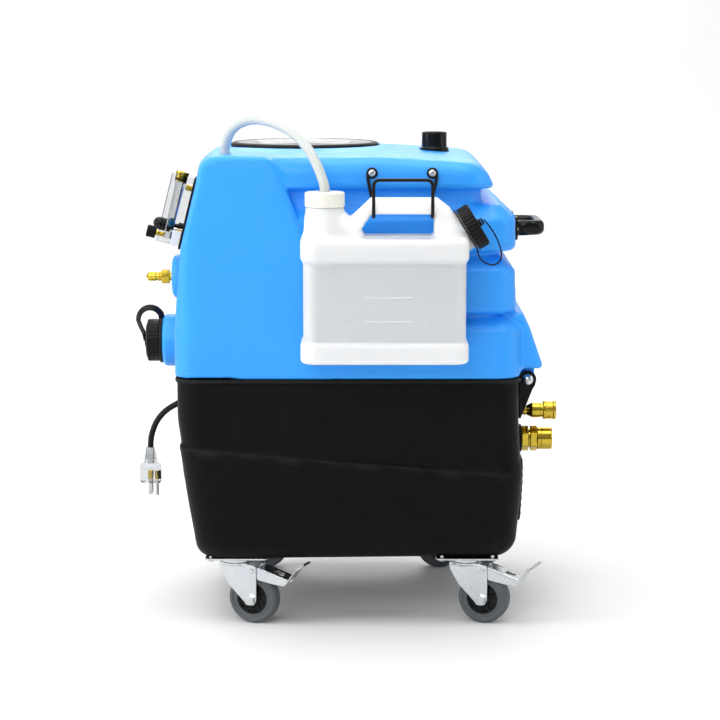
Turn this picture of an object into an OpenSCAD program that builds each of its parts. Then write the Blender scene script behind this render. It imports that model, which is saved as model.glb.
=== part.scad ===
/* [Base] */
// Length of the base shell at its widest level
base_len = 509; // [503:1:512]
// Width of the base shell and of the tank
body_w = 430; // [428:1:434]
// Height of the base's underside above the floor
base_bot = 100; // [99.5:0.5:102]
// Height of the rim that the tank sits on
seam_z = 366; // [364:1:367]
// Wall thickness of the moulded shells
wall = 8; // [6:0.5:9]
// Depth of the moulded step between the upper and lower halves of the base wall
step_d = 2.5; // [1:0.5:3]

/* [Tank] */
// Height of the tank's flat top
tank_top = 691; // [690:0.5:693]
// Diameter of the lid's rubber rim
lid_d = 224; // [218:2:228]
// Diameter of the mouth under the lid
mouth_d = 190; // [170:2:196]
// Outside diameter of the vacuum port stub (1.5 inch)
port_od = 38.1; // [36:0.1:40]
// Bore of the vacuum port stub
port_id = 31.8; // [28:0.2:33]

/* [Hinge] */
// Distance of the tilt pivot behind the middle of the base
hinge_x = 266; // [265:0.5:267]
// Height of the tilt pivot
hinge_z = 358; // [357:0.5:359]
// Radius of the pivot bolts
pivot_r = 5; // [4:0.5:5]

/* [Casters] */
// Wheel diameter
wheel_d = 75; // [73:0.5:76]
// Wheel width
wheel_w = 24; // [21:0.5:24]
// Offset of the axle behind the kingpin
trail = 28; // [27:0.5:29]
// Resting swivel angle of the two casters on the jug's side
near_swivel = 20; // [0:5:25]

/* [Jug] */
// Width of the jug across its bands
jug_w = 236; // [232:1:238]
// Depth of the jug across its bands
jug_d = 107; // [100:1:107]
// Diameter of the ivory screw cap
dose_cap_d = 56; // [54:1:57]
// Diameter of the black fill cap
fill_cap_d = 65; // [62:1:66]

/* [Fittings] */
// Nose radius of the male quick connect
nose_r = 7.1; // [6.8:0.1:7.3]
// Bore radius of the hose nut
hose_bore_r = 12.5; // [11:0.25:13]

/* [Hidden] */
$fn = 64;
// The machine's middle plane lies this far to the side of the origin, because the jug hangs on one side
mid_y = 55;
half_w = body_w / 2;
x_front = -251;
x_rear = x_front + base_len;
gap = 0.3;
lid_x = -64;
port_x = 132;
panel_a = 14;
panel_x = -247.5;
panel_z = 544.5;
jug_y = -271.5;
jug_xc = 54;
jug_z = 403.4;
cap_a = 31.3;
caster_px = [-162, 177, -162, 177];
caster_py = [-173, -173, 173, 173];
caster_rot = [-near_swivel, -near_swivel, 0, 180];
axle_z = wheel_d / 2;
hose_route = [[-176, -150, 681], [-176, -150, 700], [-166, -157, 723], [-149, -168, 735], [-127, -182, 739], [-99, -204, 733], [-72, -228, 719], [-52, -248, 698], [-39, -262, 674], [-31, -270, 652], [-30, -271.5, 638]];
cord_route = [[-226, 0, 302], [-240, 0, 302], [-256, 0, 299], [-271, 0, 292], [-284, 0, 282], [-294, 0, 269], [-300, 0, 255], [-303, 0, 243], [-304, 0, 229]];

// ---------- helpers ----------
module place() translate([0, mid_y, 0]) children();
module rr(x0, x1, y0, y1, r) {
    translate([x0 + r, y0]) square([x1 - x0 - 2 * r, y1 - y0]);
    translate([x0, y0 + r]) square([x1 - x0, y1 - y0 - 2 * r]);
    for (x = [x0 + r, x1 - r], y = [y0 + r, y1 - r]) translate([x, y]) circle(r);
}
// extrudes a profile drawn in X and Z from y0 to y1
module side_x(y0, y1) translate([0, y1, 0]) rotate([90, 0, 0]) linear_extrude(y1 - y0) children();
// extrudes a profile drawn in Y and Z from x0 to x1
module along_x(x0, x1) translate([x0, 0, 0]) rotate([90, 0, 90]) linear_extrude(x1 - x0) children();
module flat(z0, z1) translate([0, 0, z0]) linear_extrude(z1 - z0) children();
module cyx(x0, x1, r, y = 0, z = 0, fn = 64) translate([x0, y, z]) rotate([0, 90, 0]) cylinder(h = x1 - x0, r = r, $fn = fn);
module cyy(y0, y1, r, x = 0, z = 0, fn = 64) translate([x, y0, z]) rotate([-90, 0, 0]) cylinder(h = y1 - y0, r = r, $fn = fn);
module cyz(z0, z1, r, x = 0, y = 0, fn = 64) translate([x, y, z0]) cylinder(h = z1 - z0, r = r, $fn = fn);
function arc(cx, cz, r, a0, a1, n = 6) = [for (i = [0:n]) let(a = a0 + (a1 - a0) * i / n) [cx + r * cos(a), cz + r * sin(a)]];
function cr(a, b, c, d, t) = 0.5 * (2 * b + (c - a) * t + (2 * a - 5 * b + 4 * c - d) * t * t + (3 * b - a - 3 * c + d) * t * t * t);
function refine(p, k) = [for (i = [0:len(p) - 2], j = [0:k - 1]) cr(p[max(i - 1, 0)], p[i], p[i + 1], p[min(i + 2, len(p) - 1)], j / k), p[len(p) - 1]];
function unit(v) = v / norm(v);
// one closed tube of radius r along the points p, with n sides
module tube(p, r, n = 10) {
    m = len(p);
    t = [for (i = [0:m - 1]) unit(p[min(i + 1, m - 1)] - p[max(i - 1, 0)])];
    v = [for (i = [0:m - 1]) unit(cross(t[i], cross([0.2, 1, 0.1], t[i])))];
    w = [for (i = [0:m - 1]) cross(t[i], v[i])];
    pts = [for (i = [0:m - 1], j = [0:n - 1]) let(a = 360 * j / n) p[i] + r * cos(a) * v[i] + r * sin(a) * w[i]];
    sides = [for (i = [0:m - 2], j = [0:n - 1]) let(k = (j + 1) % n) [i * n + j, (i + 1) * n + j, (i + 1) * n + k, i * n + k]];
    polyhedron(points = pts, faces = concat([[for (j = [0:n - 1]) j]], sides, [[for (j = [n - 1:-1:0]) (m - 1) * n + j]]), convexity = 6);
}
// a strip of thickness t along the points p, drawn in the plane
function nrm(p, i) = let(a = p[max(i - 1, 0)], b = p[min(i + 1, len(p) - 1)], d = (b - a) / norm(b - a)) [-d[1], d[0]];
module ribbon(p, t) polygon(concat([for (i = [0:len(p) - 1]) p[i] + nrm(p, i) * t / 2], [for (i = [len(p) - 1:-1:0]) p[i] - nrm(p, i) * t / 2]));
module hexx(x0, x1, af, y, z) translate([x0, y, z]) rotate([0, 90, 0]) cylinder(h = x1 - x0, r = af / 2 / cos(30), $fn = 6);
// a ribbed round cap along +Z with a recess of radius ri and depth d from its open lower end
module ribbed_cap(r, h, ri, d, n, rib) difference() {
    union() {
        cylinder(h = h, r = r - rib);
        for (i = [0:n - 1]) rotate([0, 0, 360 * i / n]) translate([r - rib - 1, -rib, 0]) cube([rib + 0.9, 2 * rib, h - 1.5]);
    }
    translate([0, 0, -1]) cylinder(h = d + 1, r = ri);
}

// ---------- base ----------
function base_side(t) = concat(
    [[x_front + t, 300]],
    arc(-190, base_bot + 31, 31 - t, 187, 270),
    arc(216, base_bot + 32, 32 - t, 270, 355),
    [[x_rear - t, 222], [x_rear - t, 240], [x_rear - 3 - t, 300]]);
module base_plan(t) rr(x_front + t, x_rear - t, -half_w + t, half_w - t, 50 - t);
module base_solid(t, top) intersection() {
    side_x(-half_w, half_w) polygon(concat(base_side(t), [[x_rear - 3 - t, top], [x_front + t, top]]));
    flat(base_bot - 5, top + 5) base_plan(t);
}
module below_step() side_x(-half_w - 1, half_w + 1) polygon([[x_front - 5, base_bot - 10], [x_rear + 5, base_bot - 10], [x_rear + 5, 228], [x_front - 5, 268]]);
module base_shell() color("#1b1b1c") place() difference() {
    union() {
        difference() {
            union() {
                base_solid(step_d, seam_z);
                intersection() { base_solid(0, seam_z); below_step(); }
            }
            base_solid(wall + step_d, seam_z + 2);
        }
        translate([-244, -50, 260]) cube([46, 100, 84]);
        translate([x_rear - 12, -46, 210]) cube([10.5, 92, 118]);
    }
    translate([-270, -43, 268]) cube([63, 86, 68]);
    cyx(-215, -190, 8, 0, 302);
    cyx(x_rear - 20, x_rear + 5, 9, 0, 287);
    cyx(x_rear - 20, x_rear + 5, 14, 0, 243);
    cyx(x_rear - 1.5, x_rear + 5, 27.1, 0, 243);
}
module hinge_ear() side_x(-4, 4) difference() {
    polygon(concat([[x_rear - 3 - step_d, 364], [x_rear - 3 - step_d, 300]], arc(hinge_x, hinge_z, 12.8, -32, 150, 10)));
    translate([hinge_x, hinge_z]) circle(pivot_r);
}
module hinge_ears() color("#202021") place() for (y = [-152, 152]) translate([0, y, 0]) hinge_ear();
// the two pivot bolts of the tank's hinge, and four screws for every caster plate
module base_fasteners() color("#b9bcbd") place() {
    for (s = [-1, 1]) translate([0, s * 152, 0]) scale([1, s, 1]) {
        cyy(-26, 4.5, pivot_r, hinge_x, hinge_z);
        cyy(4.5, 9.5, 8.5, hinge_x, hinge_z);
        translate([hinge_x, -24, hinge_z]) rotate([90, 0, 0]) cylinder(h = 4.5, r = 8.6, $fn = 6);
    }
    for (i = [0:3]) translate([caster_px[i], caster_py[i], base_bot]) for (x = [-37, 37], y = [-23, 23]) {
        cyz(-3, 9.8, 3, x, y, 24);
        cyz(-6.5, -3, 6.5, x, y, 32);
    }
}
module vent_grille() color("#141415") place() difference() {
    along_x(x_rear - 24, x_rear + 3.8) rr(-137, -33, 141, 235, 12);
    along_x(x_rear - 30, x_rear + 0.3) rr(-133, -37, 145, 231, 9);
    for (k = [0:6]) translate([x_rear - 1, -127, 150 + 11.5 * k]) cube([12, 84, 5]);
    base_solid(-0.01, seam_z);
}
module rear_flange() color("#1b1b1c") place() difference() {
    union() { cyx(x_rear - 1.5, x_rear + 6, 27, 0, 243); cyx(x_rear + 6, x_rear + 10, 22, 0, 243); }
    cyx(x_rear - 3, x_rear + 12, 14, 0, 243);
}
module coupler_plate() color("#c9cccd") place() difference() {
    along_x(x_rear - 1.5, x_rear + 1.5) rr(-22, 22, 271, 307, 5);
    cyx(x_rear - 3, x_rear + 3, 9, 0, 287);
}
module coupler_body() color("#c8a02a") place() translate([0, 0, 287]) rotate([0, 90, 0]) rotate_extrude()
    polygon([[3.5, x_rear - 10], [9, x_rear - 10], [9, x_rear + 1.5], [9.6, x_rear + 1.5], [9.6, x_rear + 8], [7.2, x_rear + 10], [7.2, x_rear + 17], [8, x_rear + 20],
             [11.6, x_rear + 27], [11.6, x_rear + 38], [11, x_rear + 38], [11, 319.6], [7.25, 319.6], [7.25, x_rear + 40], [3.5, x_rear + 36]]);
module coupler_sleeve() color("#d0a830") place() translate([0, 0, 287]) rotate([0, 90, 0]) rotate_extrude()
    polygon([[11.05, 301], [13.6, 301], [14.5, 302], [14.5, 304.5], [13.6, 305.5], [13.6, 316], [14.5, 317], [14.5, 320], [13.6, 321], [11.05, 321]]);
module hose_fitting() color("#c0982a") place() difference() {
    union() {
        cyx(x_rear - 12, x_rear + 10.5, 14, 0, 243);
        hexx(x_rear + 10.5, x_rear + 21, 34, 0, 243);
        cyx(x_rear + 21, x_rear + 23.5, 14.5, 0, 243);
        hexx(x_rear + 23.5, x_rear + 34, 34, 0, 243);
        cyx(x_rear + 34, x_rear + 37, 14, 0, 243);
    }
    cyx(x_rear - 14, x_rear + 40, 8.5, 0, 243);
}
module hose_nut() color("#c8a02a") place() difference() {
    cyx(x_rear + 34.3, x_rear + 57, 17.2, 0, 243);
    cyx(x_rear + 34, x_rear + 38, 14.05, 0, 243);
    cyx(x_rear + 37, x_rear + 60, hose_bore_r, 0, 243);
}
module cord_gland() color("#19191a") place() difference() {
    union() {
        cyx(-219, -190, 8, 0, 302);
        hexx(-213, -207, 24, 0, 302);
        cyx(-226, -213, 9.5, 0, 302);
        hexx(-198, -192, 24, 0, 302);
    }
    cyx(-222, -185, 4.6, 0, 302);
}
module caster_plates() color("#c3c6c6") place() for (i = [0:3]) translate([caster_px[i], caster_py[i], base_bot]) {
    difference() {
        flat(-3, 0) rr(-46, 46, -32, 32, 6);
        for (x = [-37, 37], y = [-23, 23]) cyz(-4, 1, 3, x, y, 24);
    }
    cyz(-9, -3, 24.5);
    cyz(-14.5, -9, 4.5);
    cyz(-15.5, -12.6, 8);
}
module vacuum_motors() color("#3a3c3e") place() for (y = [-98, 98]) translate([-95, y, 0]) {
    cyz(base_bot + wall + step_d, 178, 74);
    cyz(178, 190, 60);
    cyz(190, 252, 44);
    cyz(252, 258, 24);
}
module solution_pump() color("#55585a") place() {
    translate([40, -130, base_bot + wall + step_d]) cube([150, 90, 12]);
    cyx(50, 130, 38, -85, 160);
    translate([130, -128, 122]) cube([58, 86, 84]);
    cyz(206, 226, 9, 145, -105);
    cyz(206, 226, 9, 172, -65);
}
module power_box() color("#8a8d8f") place() difference() {
    translate([50, 50, base_bot + wall + step_d]) cube([150, 90, 110]);
    translate([53, 53, base_bot + wall + step_d + 3]) cube([144, 84, 104]);
}
module power_cord() color("#101011") place() tube(refine(cord_route, 3), 4.5, 12);
module plug() color("#cfd3d4") place() translate([-304, 0, 0]) {
    difference() {
        union() {
            flat(174, 203) rr(-16.5, 16.5, -14, 14, 7);
            cyz(203, 226, 9);
            cyz(224, 229, 11);
        }
        cyz(196, 240, 4.6);
    }
    cyz(210, 228.3, 4.59);
    for (y = [-6.3, 6.3]) translate([-3.1, y - 0.8, 156]) cube([6.2, 1.6, 18.5]);
    cyz(153, 174.5, 2.4, 9.5, 0, 24);
}

// ---------- tank ----------
function front_side() = concat(
    [[x_front, seam_z + gap], [x_front, 440], [panel_x, panel_z], [panel_x + 116 * sin(panel_a), panel_z + 116 * cos(panel_a)]],
    arc(-190, tank_top - 30, 30, 172, 90),
    [[-150, tank_top]], arc(-135, tank_top - 34, 34, 70, 24),
    [[-83, 616], [-66, 573], [-34, 490], [-20, 440], [-20, seam_z + gap]]);
module block(p, inset) side_x(-half_w + inset, half_w - inset) polygon(p);
module tank_outer() intersection() {
    union() {
        block(front_side(), 0);
        block([[-180, 439], [-180, seam_z + gap], [253, seam_z + gap], [255.5, 377], [284, 377], [286, 379], [286, 384], [267, 438], [257, 439]], 0);
        block([[-180, 430], [228, 430], [228, 500], [217, 520], [217, 570], [197, 600], [197, 650], [-180, 650]], 20);
        block([[-60, 461], [238, 461], [247, 468], [243, 522], [232, 533], [-60, 533]], 3);
        block([[-100, 551], [238, 551], [247, 558], [244, 598], [226, 617], [-100, 617]], 3);
        block([[-180, 640], [205, 640], [213, 646], [213, 652], [194, 686], [180, tank_top], [-180, tank_top]], 3);
        translate([236, -66, 553]) cube([15, 132, 40]);
    }
    flat(seam_z, tank_top + 5) rr(x_front, 286, -half_w, half_w, 48);
    along_x(x_front - 5, 300) polygon(concat([[-half_w, seam_z - 5]], arc(-half_w + 26, tank_top - 26, 26, 180, 90), arc(half_w - 26, tank_top - 26, 26, 90, 0), [[half_w, seam_z - 5]]));
}
module tank_shell() color("#3f9df0") place() difference() {
    union() {
        tank_outer();
        difference() { cyx(-284, -240, 40, 0, 396); translate([x_front + step_d - 0.5, -60, 340]) cube([30, 120, seam_z + gap - 340]); }
        cyx(-271, -240, 34, 0, 494);
        for (s = [-1, 1]) side_x(s * 134 - 6, s * 134 + 6) polygon(concat([[256, 380], [hinge_x + 11, 380]], arc(hinge_x, hinge_z, 11, 0, -180, 10), [[hinge_x - 8.5, 366.5]]));
    }
    intersection() {
        side_x(-half_w + 29, half_w - 29) polygon([[-236, seam_z + wall + 6], [-236, 450], [-230, 545], [-206, 640], [-168, 652], [-150, tank_top - wall + 2], [184, tank_top - wall + 2], [184, 600], [205, 570], [205, 520], [216, 500], [216, 440], [238, 430], [246, 392], [240, seam_z + wall + 6]]);
        flat(seam_z, tank_top) rr(-240, 246, -half_w + 29, half_w - 29, 34);
    }
    intersection() {
        side_x(-half_w + 9, half_w - 9) polygon([[-240, seam_z + wall + 6], [-240, 450], [-236, 545], [-214, 635], [-168, 650], [-105, 650], [-80, 570], [-48, 488], [-34, 430], [240, 430], [246, 400], [240, seam_z + wall + 6]]);
        flat(seam_z, tank_top) rr(-240, 246, -half_w + 9, half_w - 9, 42);
    }
    cyz(tank_top - 20, tank_top + 1, mouth_d / 2, lid_x);
    cyz(tank_top - 20, tank_top + 1, port_od / 2 + 3, port_x);
    cyx(-300, -170, 28, 0, 396);
    cyx(-300, -170, 6.5, 0, 494);
    cyz(679.6, 700, 9, -176, -150);
    cyz(640, 700, 5, -176, -150);
    for (x = [36.6, 122.7]) cyy(-half_w - 5, -half_w + 32, 3, x, 664.8);
    for (s = [-1, 1]) cyy(s * 134 - 8, s * 134 + 8, pivot_r + 0.05, hinge_x, hinge_z);
    for (y = [-61, 61]) cyx(230, 260, 2.2, y, 572);
}
module standpipe() color("#d9dcdd") place() difference() {
    union() { cyz(seam_z + wall + 6, 640, 27, 110, 125); cyz(seam_z + wall + 6, 384, 40, 110, 125); }
    cyz(seam_z + wall + 10, 650, 24, 110, 125);
}
module filter_basket() color("#a9b0b4") place() difference() {
    union() { cyz(600, 671, 36, port_x); cyz(671, 673, 40, port_x); }
    cyz(602, 680, 34.5, port_x);
    for (k = [0:7]) rotate_about(port_x, 0, 45 * k) for (z = [608, 638]) translate([port_x + 30, -7, z]) cube([10, 14, 22]);
}
module rotate_about(x, y, a) translate([x, y, 0]) rotate([0, 0, a]) translate([-x, -y, 0]) children();
module vacuum_port() color("#151516") place() difference() {
    union() { cyz(675, 714, port_od / 2, port_x); cyz(675, tank_top, port_od / 2 + 3, port_x); cyz(675, tank_top - wall + 2, 27, port_x); }
    cyz(670, 720, port_id / 2, port_x);
}
module rear_handle() color("#121213") place() difference() {
    union() {
        flat(561, 584) difference() {
            union() { rr(262, 297, -57, 57, 17); translate([255, -57]) square([20, 114]); }
            rr(236, 283, -43, 43, 14);
        }
        for (s = [-1, 1]) along_x(251, 255.5) rr(s * 52 - 13, s * 52 + 13, 555, 590, 6);
    }
    for (y = [-61, 61]) cyx(240, 262, 2.2, y, 572);
}
module rack_leg(x) {
    translate([x, -215, 664.8]) rotate([90, 0, 0]) rotate_extrude() translate([5.9, 0]) circle(2.3, $fn = 24);
}
module bend(x, y, z, r, a) translate([x, y, z]) rotate([0, -90, 0]) rotate([0, 0, a]) rotate_extrude(angle = 90) translate([r, 0]) circle(2.5, $fn = 24);
module jug_rack() color("#101011") place() {
    for (k = [[36.6, 38.5], [122.7, 118.5]]) {
        rack_leg(k[0]);
        s = k[0] > 80 ? -1 : 1;
        cyz(616, 659, 2.5, k[0] + s * 1.9, -216.5, 24);
        bend(k[0] + s * 1.9, -224.5, 616, 8, 90);
        cyy(-290, -224.5, 2.5, k[0] + s * 1.9, 608, 24);
        bend(k[0] + s * 1.9, -290, 616, 8, 180);
        cyz(616, 660, 2.5, k[0] + s * 1.9, -298, 24);
        translate([k[0] + s * 1.9, -298, 660]) sphere(2.5, $fn = 24);
    }
    cyx(38.5, 120.8, 2.5, -298, 660, 24);
}
// rack bolts, grab handle screws and control plate screws
module tank_fasteners() color("#b9bcbd") place() {
    for (x = [36.6, 122.7]) {
        cyy(-217.6, -half_w + 30, 3, x, 664.8, 24);
        cyy(-220.8, -217.6, 5.6, x, 664.8, 32);
    }
    for (y = [-61, 61]) { cyx(236, 255.5, 2.2, y, 572, 24); cyx(255.5, 257.5, 3.4, y, 572, 24); }
    on_panel(0) for (y = [-104, 104], z = [8, 102]) { cyx(-5.2, -3, 3.6, y, z, 24); }
}

// ---------- controls on the sloping front ----------
module on_panel(y) translate([panel_x, y, panel_z]) rotate([0, panel_a, 0]) children();
module control_panel() color("#161617") place() on_panel(0) difference() {
    along_x(-3, 0) rr(-112, 112, 0, 110, 8);
    cyx(-5, 2, 5.6, -20, 23);
    cyx(-5, 2, 5, -70, 22);
    cyx(-5, 2, 5, -70, 90);
    for (y = [38, 76]) translate([-5, y - 7.6, 30]) cube([8, 15.2, 30]);
}
module flow_meter() color("#dfe6e8") place() on_panel(-70) difference() {
    translate([-39, -15, 2]) cube([35.7, 30, 105]);
    cyz(9, 96, 7, -24);
    cyz(95, 108, 9, -24);
    cyx(-40, -23, 4, 0, 13);
    cyx(-24, 0, 5, 0, 22);
    cyx(-24, 0, 5, 0, 90);
}
module meter_fittings() color("#c8a02a") place() on_panel(-70) {
    difference() { union() { cyz(96, 107, 8.95, -24); cyz(107, 111, 10, -24); } cyz(90, 97, 3, -24); }
    for (z = [22, 90]) difference() { union() { cyx(-14, -3.3, 4.95, 0, z); cyx(-3.3, 0, 4.9, 0, z); } cyx(-16, 2, 2.5, 0, z); }
    difference() { cyx(-42, -30, 3.9, 0, 13); cyx(-43, -36, 2.05, 0, 13); }
}
module meter_float() color("#2a9aa8") place() on_panel(-70) union() { cyz(27, 36, 5.5, -24); cyz(36, 40, 3, -24); }
module flow_knob() color("#141415") place() on_panel(-70) union() {
    cyx(-56, -42.4, 8.5, 0, 13);
    for (k = [0:11]) translate([0, 0, 13]) rotate([30 * k, 0, 0]) translate([-55, 7.6, -1]) cube([11, 1.6, 2]);
    cyx(-42.4, -36.2, 2, 0, 13);
}
module regulator_knob() color("#161617") place() on_panel(-20) union() {
    cyx(-43.2, -22, 9.8, 0, 23);
    translate([-43.2, 0, 23]) rotate([0, -90, 0]) rotate_extrude() intersection() { circle(9.8); square(11); }
    cyx(-22, -0.4, 5.55, 0, 23);
}
module rocker() { side_x(-7, 7) polygon([[-3.2, 31], [-6.5, 31.5], [-5, 45], [-6.5, 58.5], [-3.2, 59], [-0.8, 47], [-0.8, 43]]); cyy(-7.3, 7.3, 1.6, -2, 45, 24); }
module vacuum_switch() color("#a01818") place() on_panel(38) rocker();
module pump_switch() color("#181819") place() on_panel(76) rocker();

// ---------- front fittings ----------
module front_connect() color("#c8a02a") place() translate([0, 0, 494]) rotate([0, -90, 0]) difference() {
    union() {
        cylinder(h = 273.5, r = 6.5);
        translate([0, 0, 271]) cylinder(h = 12, r = 11.5, $fn = 6);
        rotate_extrude() polygon([[0, 283], [9.5, 283], [9.5, 285], [6.2, 287.5], [6.2, 291], [nose_r, 292], [nose_r, 303.5], [5, 305.5], [2.2, 305.5], [1.2, 308], [0, 308]]);
    }
    translate([0, 0, -1]) cylinder(h = 240, r = 10);
    translate([0, 0, 230]) cylinder(h = 70, r = 3);
}
module drain_neck() color("#171718") place() difference() {
    cyx(-304, -235, 28, 0, 396);
    cyx(-306, -230, 22.5, 0, 396);
}
module drain_cap() color("#141415") place() translate([-286.4, 0, 396]) rotate([0, -90, 0]) ribbed_cap(32.3, 26.6, 28.3, 18.2, 24, 1.2);
function strap_path() = concat([[-285.2, 430]], [[-286, 437]], arc(-302, 428, 18, 42, 190, 12), [[-317.5, 414], [-315, 406]]);
module drain_strap() color("#111112") place() union() {
    difference() { cyx(-286, -284.2, 37, 0, 396); cyx(-290, -280, 28.05, 0, 396); }
    side_x(-6, 6) ribbon(strap_path(), 2);
    cyx(-315.8, -313.4, 9.5, 0, 396);
    side_x(-6, 6) polygon([[-316, 407], [-314, 407], [-313.6, 398], [-315.6, 398]]);
}

// ---------- lid ----------
module lid() color("#b8bcbe") place() difference() {
    union() { cyz(tank_top + 5.3, tank_top + 9, lid_d / 2 - 4, lid_x); cyz(tank_top + 9, tank_top + 9.8, 34, lid_x); }
    cyz(tank_top + 7.8, tank_top + 8.6, 30, lid_x);
}
module lid_rim() color("#121213") place() translate([lid_x, 0, 0]) difference() {
    union() { cyz(tank_top + gap, tank_top + 8.2, lid_d / 2); cyz(tank_top - 6, tank_top + 5.3, mouth_d / 2 - 0.4); }
    cyz(tank_top + 5.3, tank_top + 9, lid_d / 2 - 4);
    cyz(tank_top - 8, tank_top + 7, mouth_d / 2 - 6);
}

// ---------- jug ----------
jx0 = jug_xc - jug_w / 2;
jx1 = jug_xc + jug_w / 2;
jd = jug_d / 2;
module jug_band(z0, z1, i) flat(z0, z1) rr(jx0 + i, jx1 - i, jug_y - jd + i, jug_y + jd - i, 22 - i);
module fill_axis(s) translate([165, jug_y, 584.8]) rotate([0, 90 - cap_a, 0]) translate([0, 0, s]) children();
module jug() color("#eceae4") place() difference() {
    union() {
        jug_band(jug_z, 434, 0);
        jug_band(434, 545, 4);
        jug_band(545, 581, 0);
        side_x(jug_y - 20, jug_y + 20) polygon([[-57, 575], [-57, 611], [4, 611], [35, 634], [130, 634], [145, 619], [170, 577], [170, 575]]);
        cyz(575, 621, 27, -30, jug_y);
        cyz(621, 637, 23, -30, jug_y);
        intersection() {
            fill_axis(-30) cylinder(h = 50.7, r = 27);
            translate([60, jug_y - 60, 560]) cube([200, 120, 120]);
        }
    }
    side_x(jug_y - 60, jug_y + 60) polygon([[35, 611], [124.8, 611], [124.8, 581], [26, 581], [19.5, 590]]);
    flat(jug_z + 3, 577) rr(jx0 + 7, jx1 - 7, jug_y - jd + 7, jug_y + jd - 7, 15);
    cyz(570, 640, 19, -30, jug_y);
    fill_axis(-14) cylinder(h = 40, r = 23.5);
}
module dip_tube() color("#d8dcdc") place() difference() { cyz(410, 637, 5, -30, jug_y, 32); cyz(409, 640, 3.5, -30, jug_y, 32); }
module dose_cap() color("#efeade") place() translate([-30, jug_y, 621.4]) difference() {
    ribbed_cap(dose_cap_d / 2, 20.6, 23.3, 16.4, 36, 0.8);
    cylinder(h = 30, r = 7.4);
}
module fill_cap() color("#131314") place() fill_axis(7) difference() {
    union() { ribbed_cap(fill_cap_d / 2, 18, 27.4, 14.2, 30, 1.2); cylinder(h = 18, r = 29.5); cylinder(h = 22, r = 5.5); }
    translate([0, 0, -1]) cylinder(h = 15.2, r = 27.4);
}
module fill_cap_strap() color("#111112") place() {
    fill_axis(3.7) difference() { cylinder(h = 2, r = 34); translate([0, 0, -1]) cylinder(h = 4, r = 27.05); }
    side_x(jug_y - 3, jug_y + 3) ribbon([[184.4, 560.8], [186.5, 553.5], [191, 546], [198, 541], [208, 539], [216, 544], [218.5, 554], [216, 567], [208, 584], [197, 599.2], [193, 603]], 2);
    fill_axis(29.6) cylinder(h = 2.4, r = 5.5);
}
module chemical_hose() color("#e6e9e6") place() tube(refine(hose_route, 3), 7, 12);

// ---------- casters ----------
module at_caster(i) place() translate([caster_px[i], caster_py[i], base_bot]) rotate([0, 0, caster_rot[i]]) children();
az = axle_z - base_bot;
module fork(i) color("#c6cacb") at_caster(i) {
    difference() {
        union() {
            cyz(-12.3, -9.3, 24);
            flat(-12.3, -9.3) rr(-22, 21, -18.1, 18.1, 3);
            for (s = [-1, 1]) side_x(s * 16.85 - 1.25, s * 16.85 + 1.25) polygon(concat([[-23, -9.3], [-21, -20], [-9, -40]], arc(trail - 0.5, az, 9.5, 215, 350, 8), [[36.5, -40], [37, -12]], [[22, -9.3]]));
            cyy(-19, 19, 2.4, 30, -19.7, 24);
        }
        cyz(-20, 0, 4.55);
        cyy(-25, 25, 4, trail, az);
    }
    cyy(-18.1, 18.1, 4, trail, az);
    cyy(-15.5, -12.8, 6, trail, az);
    cyy(12.8, 15.5, 6, trail, az);
    translate([trail, -18.1, az]) rotate([90, 0, 0]) cylinder(h = 5.5, r = 7.6, $fn = 6);
    translate([trail, 24.6, az]) rotate([90, 0, 0]) cylinder(h = 6.5, r = 7.6, $fn = 6);
}
module hub(i) color("#161617") at_caster(i) translate([trail, 0, az]) rotate([90, 0, 0]) difference() {
    union() { cylinder(h = wheel_w - 2, r = 23.5, center = true); cylinder(h = 25, r = 11, center = true); }
    cylinder(h = 40, r = 4.05, center = true);
}
module tyre(i) color("#5b5f63") at_caster(i) translate([trail, 0, az]) rotate([90, 0, 0]) rotate_extrude()
    polygon(concat([[23.5, -wheel_w / 2], [wheel_d / 2 - 6, -wheel_w / 2]], arc(wheel_d / 2 - 6, -wheel_w / 2 + 6, 6, -90, 0), arc(wheel_d / 2 - 6, wheel_w / 2 - 6, 6, 0, 90), [[23.5, wheel_w / 2]]));
module pedal(i) color("#c6cacb") at_caster(i) difference() {
    union() {
        for (s = [-1, 1]) side_x(s * 14.2 - 0.9, s * 14.2 + 0.9) polygon(concat(arc(30, -19.7, 5.5, 200, 60, 8), [[38, -14.5], [85, -29.5], [80, -40], [38, -34]]));
        side_x(-15.1, 15.1) polygon([[38, -14.5], [85, -29.5], [84.3, -31.6], [37.4, -16.6]]);
        side_x(-15.1, 15.1) polygon([[84.2, -31.6], [96, -15.5], [111, -5.5], [112.2, -7.2], [97.6, -17.2], [86, -32.6]]);
    }
    cyy(-20, 20, 2.45, 30, -19.7, 24);
    translate([62, -7, -40]) rotate([0, 17.7, 0]) cube([13, 14, 60]);
}

base_shell();
hinge_ears();
base_fasteners();
vent_grille();
rear_flange();
coupler_plate();
coupler_body();
coupler_sleeve();
hose_fitting();
hose_nut();
cord_gland();
caster_plates();
vacuum_motors();
solution_pump();
power_box();
power_cord();
plug();
tank_shell();
standpipe();
filter_basket();
vacuum_port();
rear_handle();
jug_rack();
tank_fasteners();
control_panel();
flow_meter();
meter_fittings();
meter_float();
flow_knob();
regulator_knob();
vacuum_switch();
pump_switch();
front_connect();
drain_neck();
drain_strap();
drain_cap();
lid();
lid_rim();
jug();
dip_tube();
dose_cap();
fill_cap();
fill_cap_strap();
chemical_hose();
fork(0);  // fork_1
hub(0);  // hub_1
tyre(0);  // tyre_1
pedal(0);  // pedal_1
fork(1);  // fork_2
hub(1);  // hub_2
tyre(1);  // tyre_2
pedal(1);  // pedal_2
fork(2);  // fork_3
hub(2);  // hub_3
tyre(2);  // tyre_3
pedal(2);  // pedal_3
fork(3);  // fork_4
hub(3);  // hub_4
tyre(3);  // tyre_4
pedal(3);  // pedal_4
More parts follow.
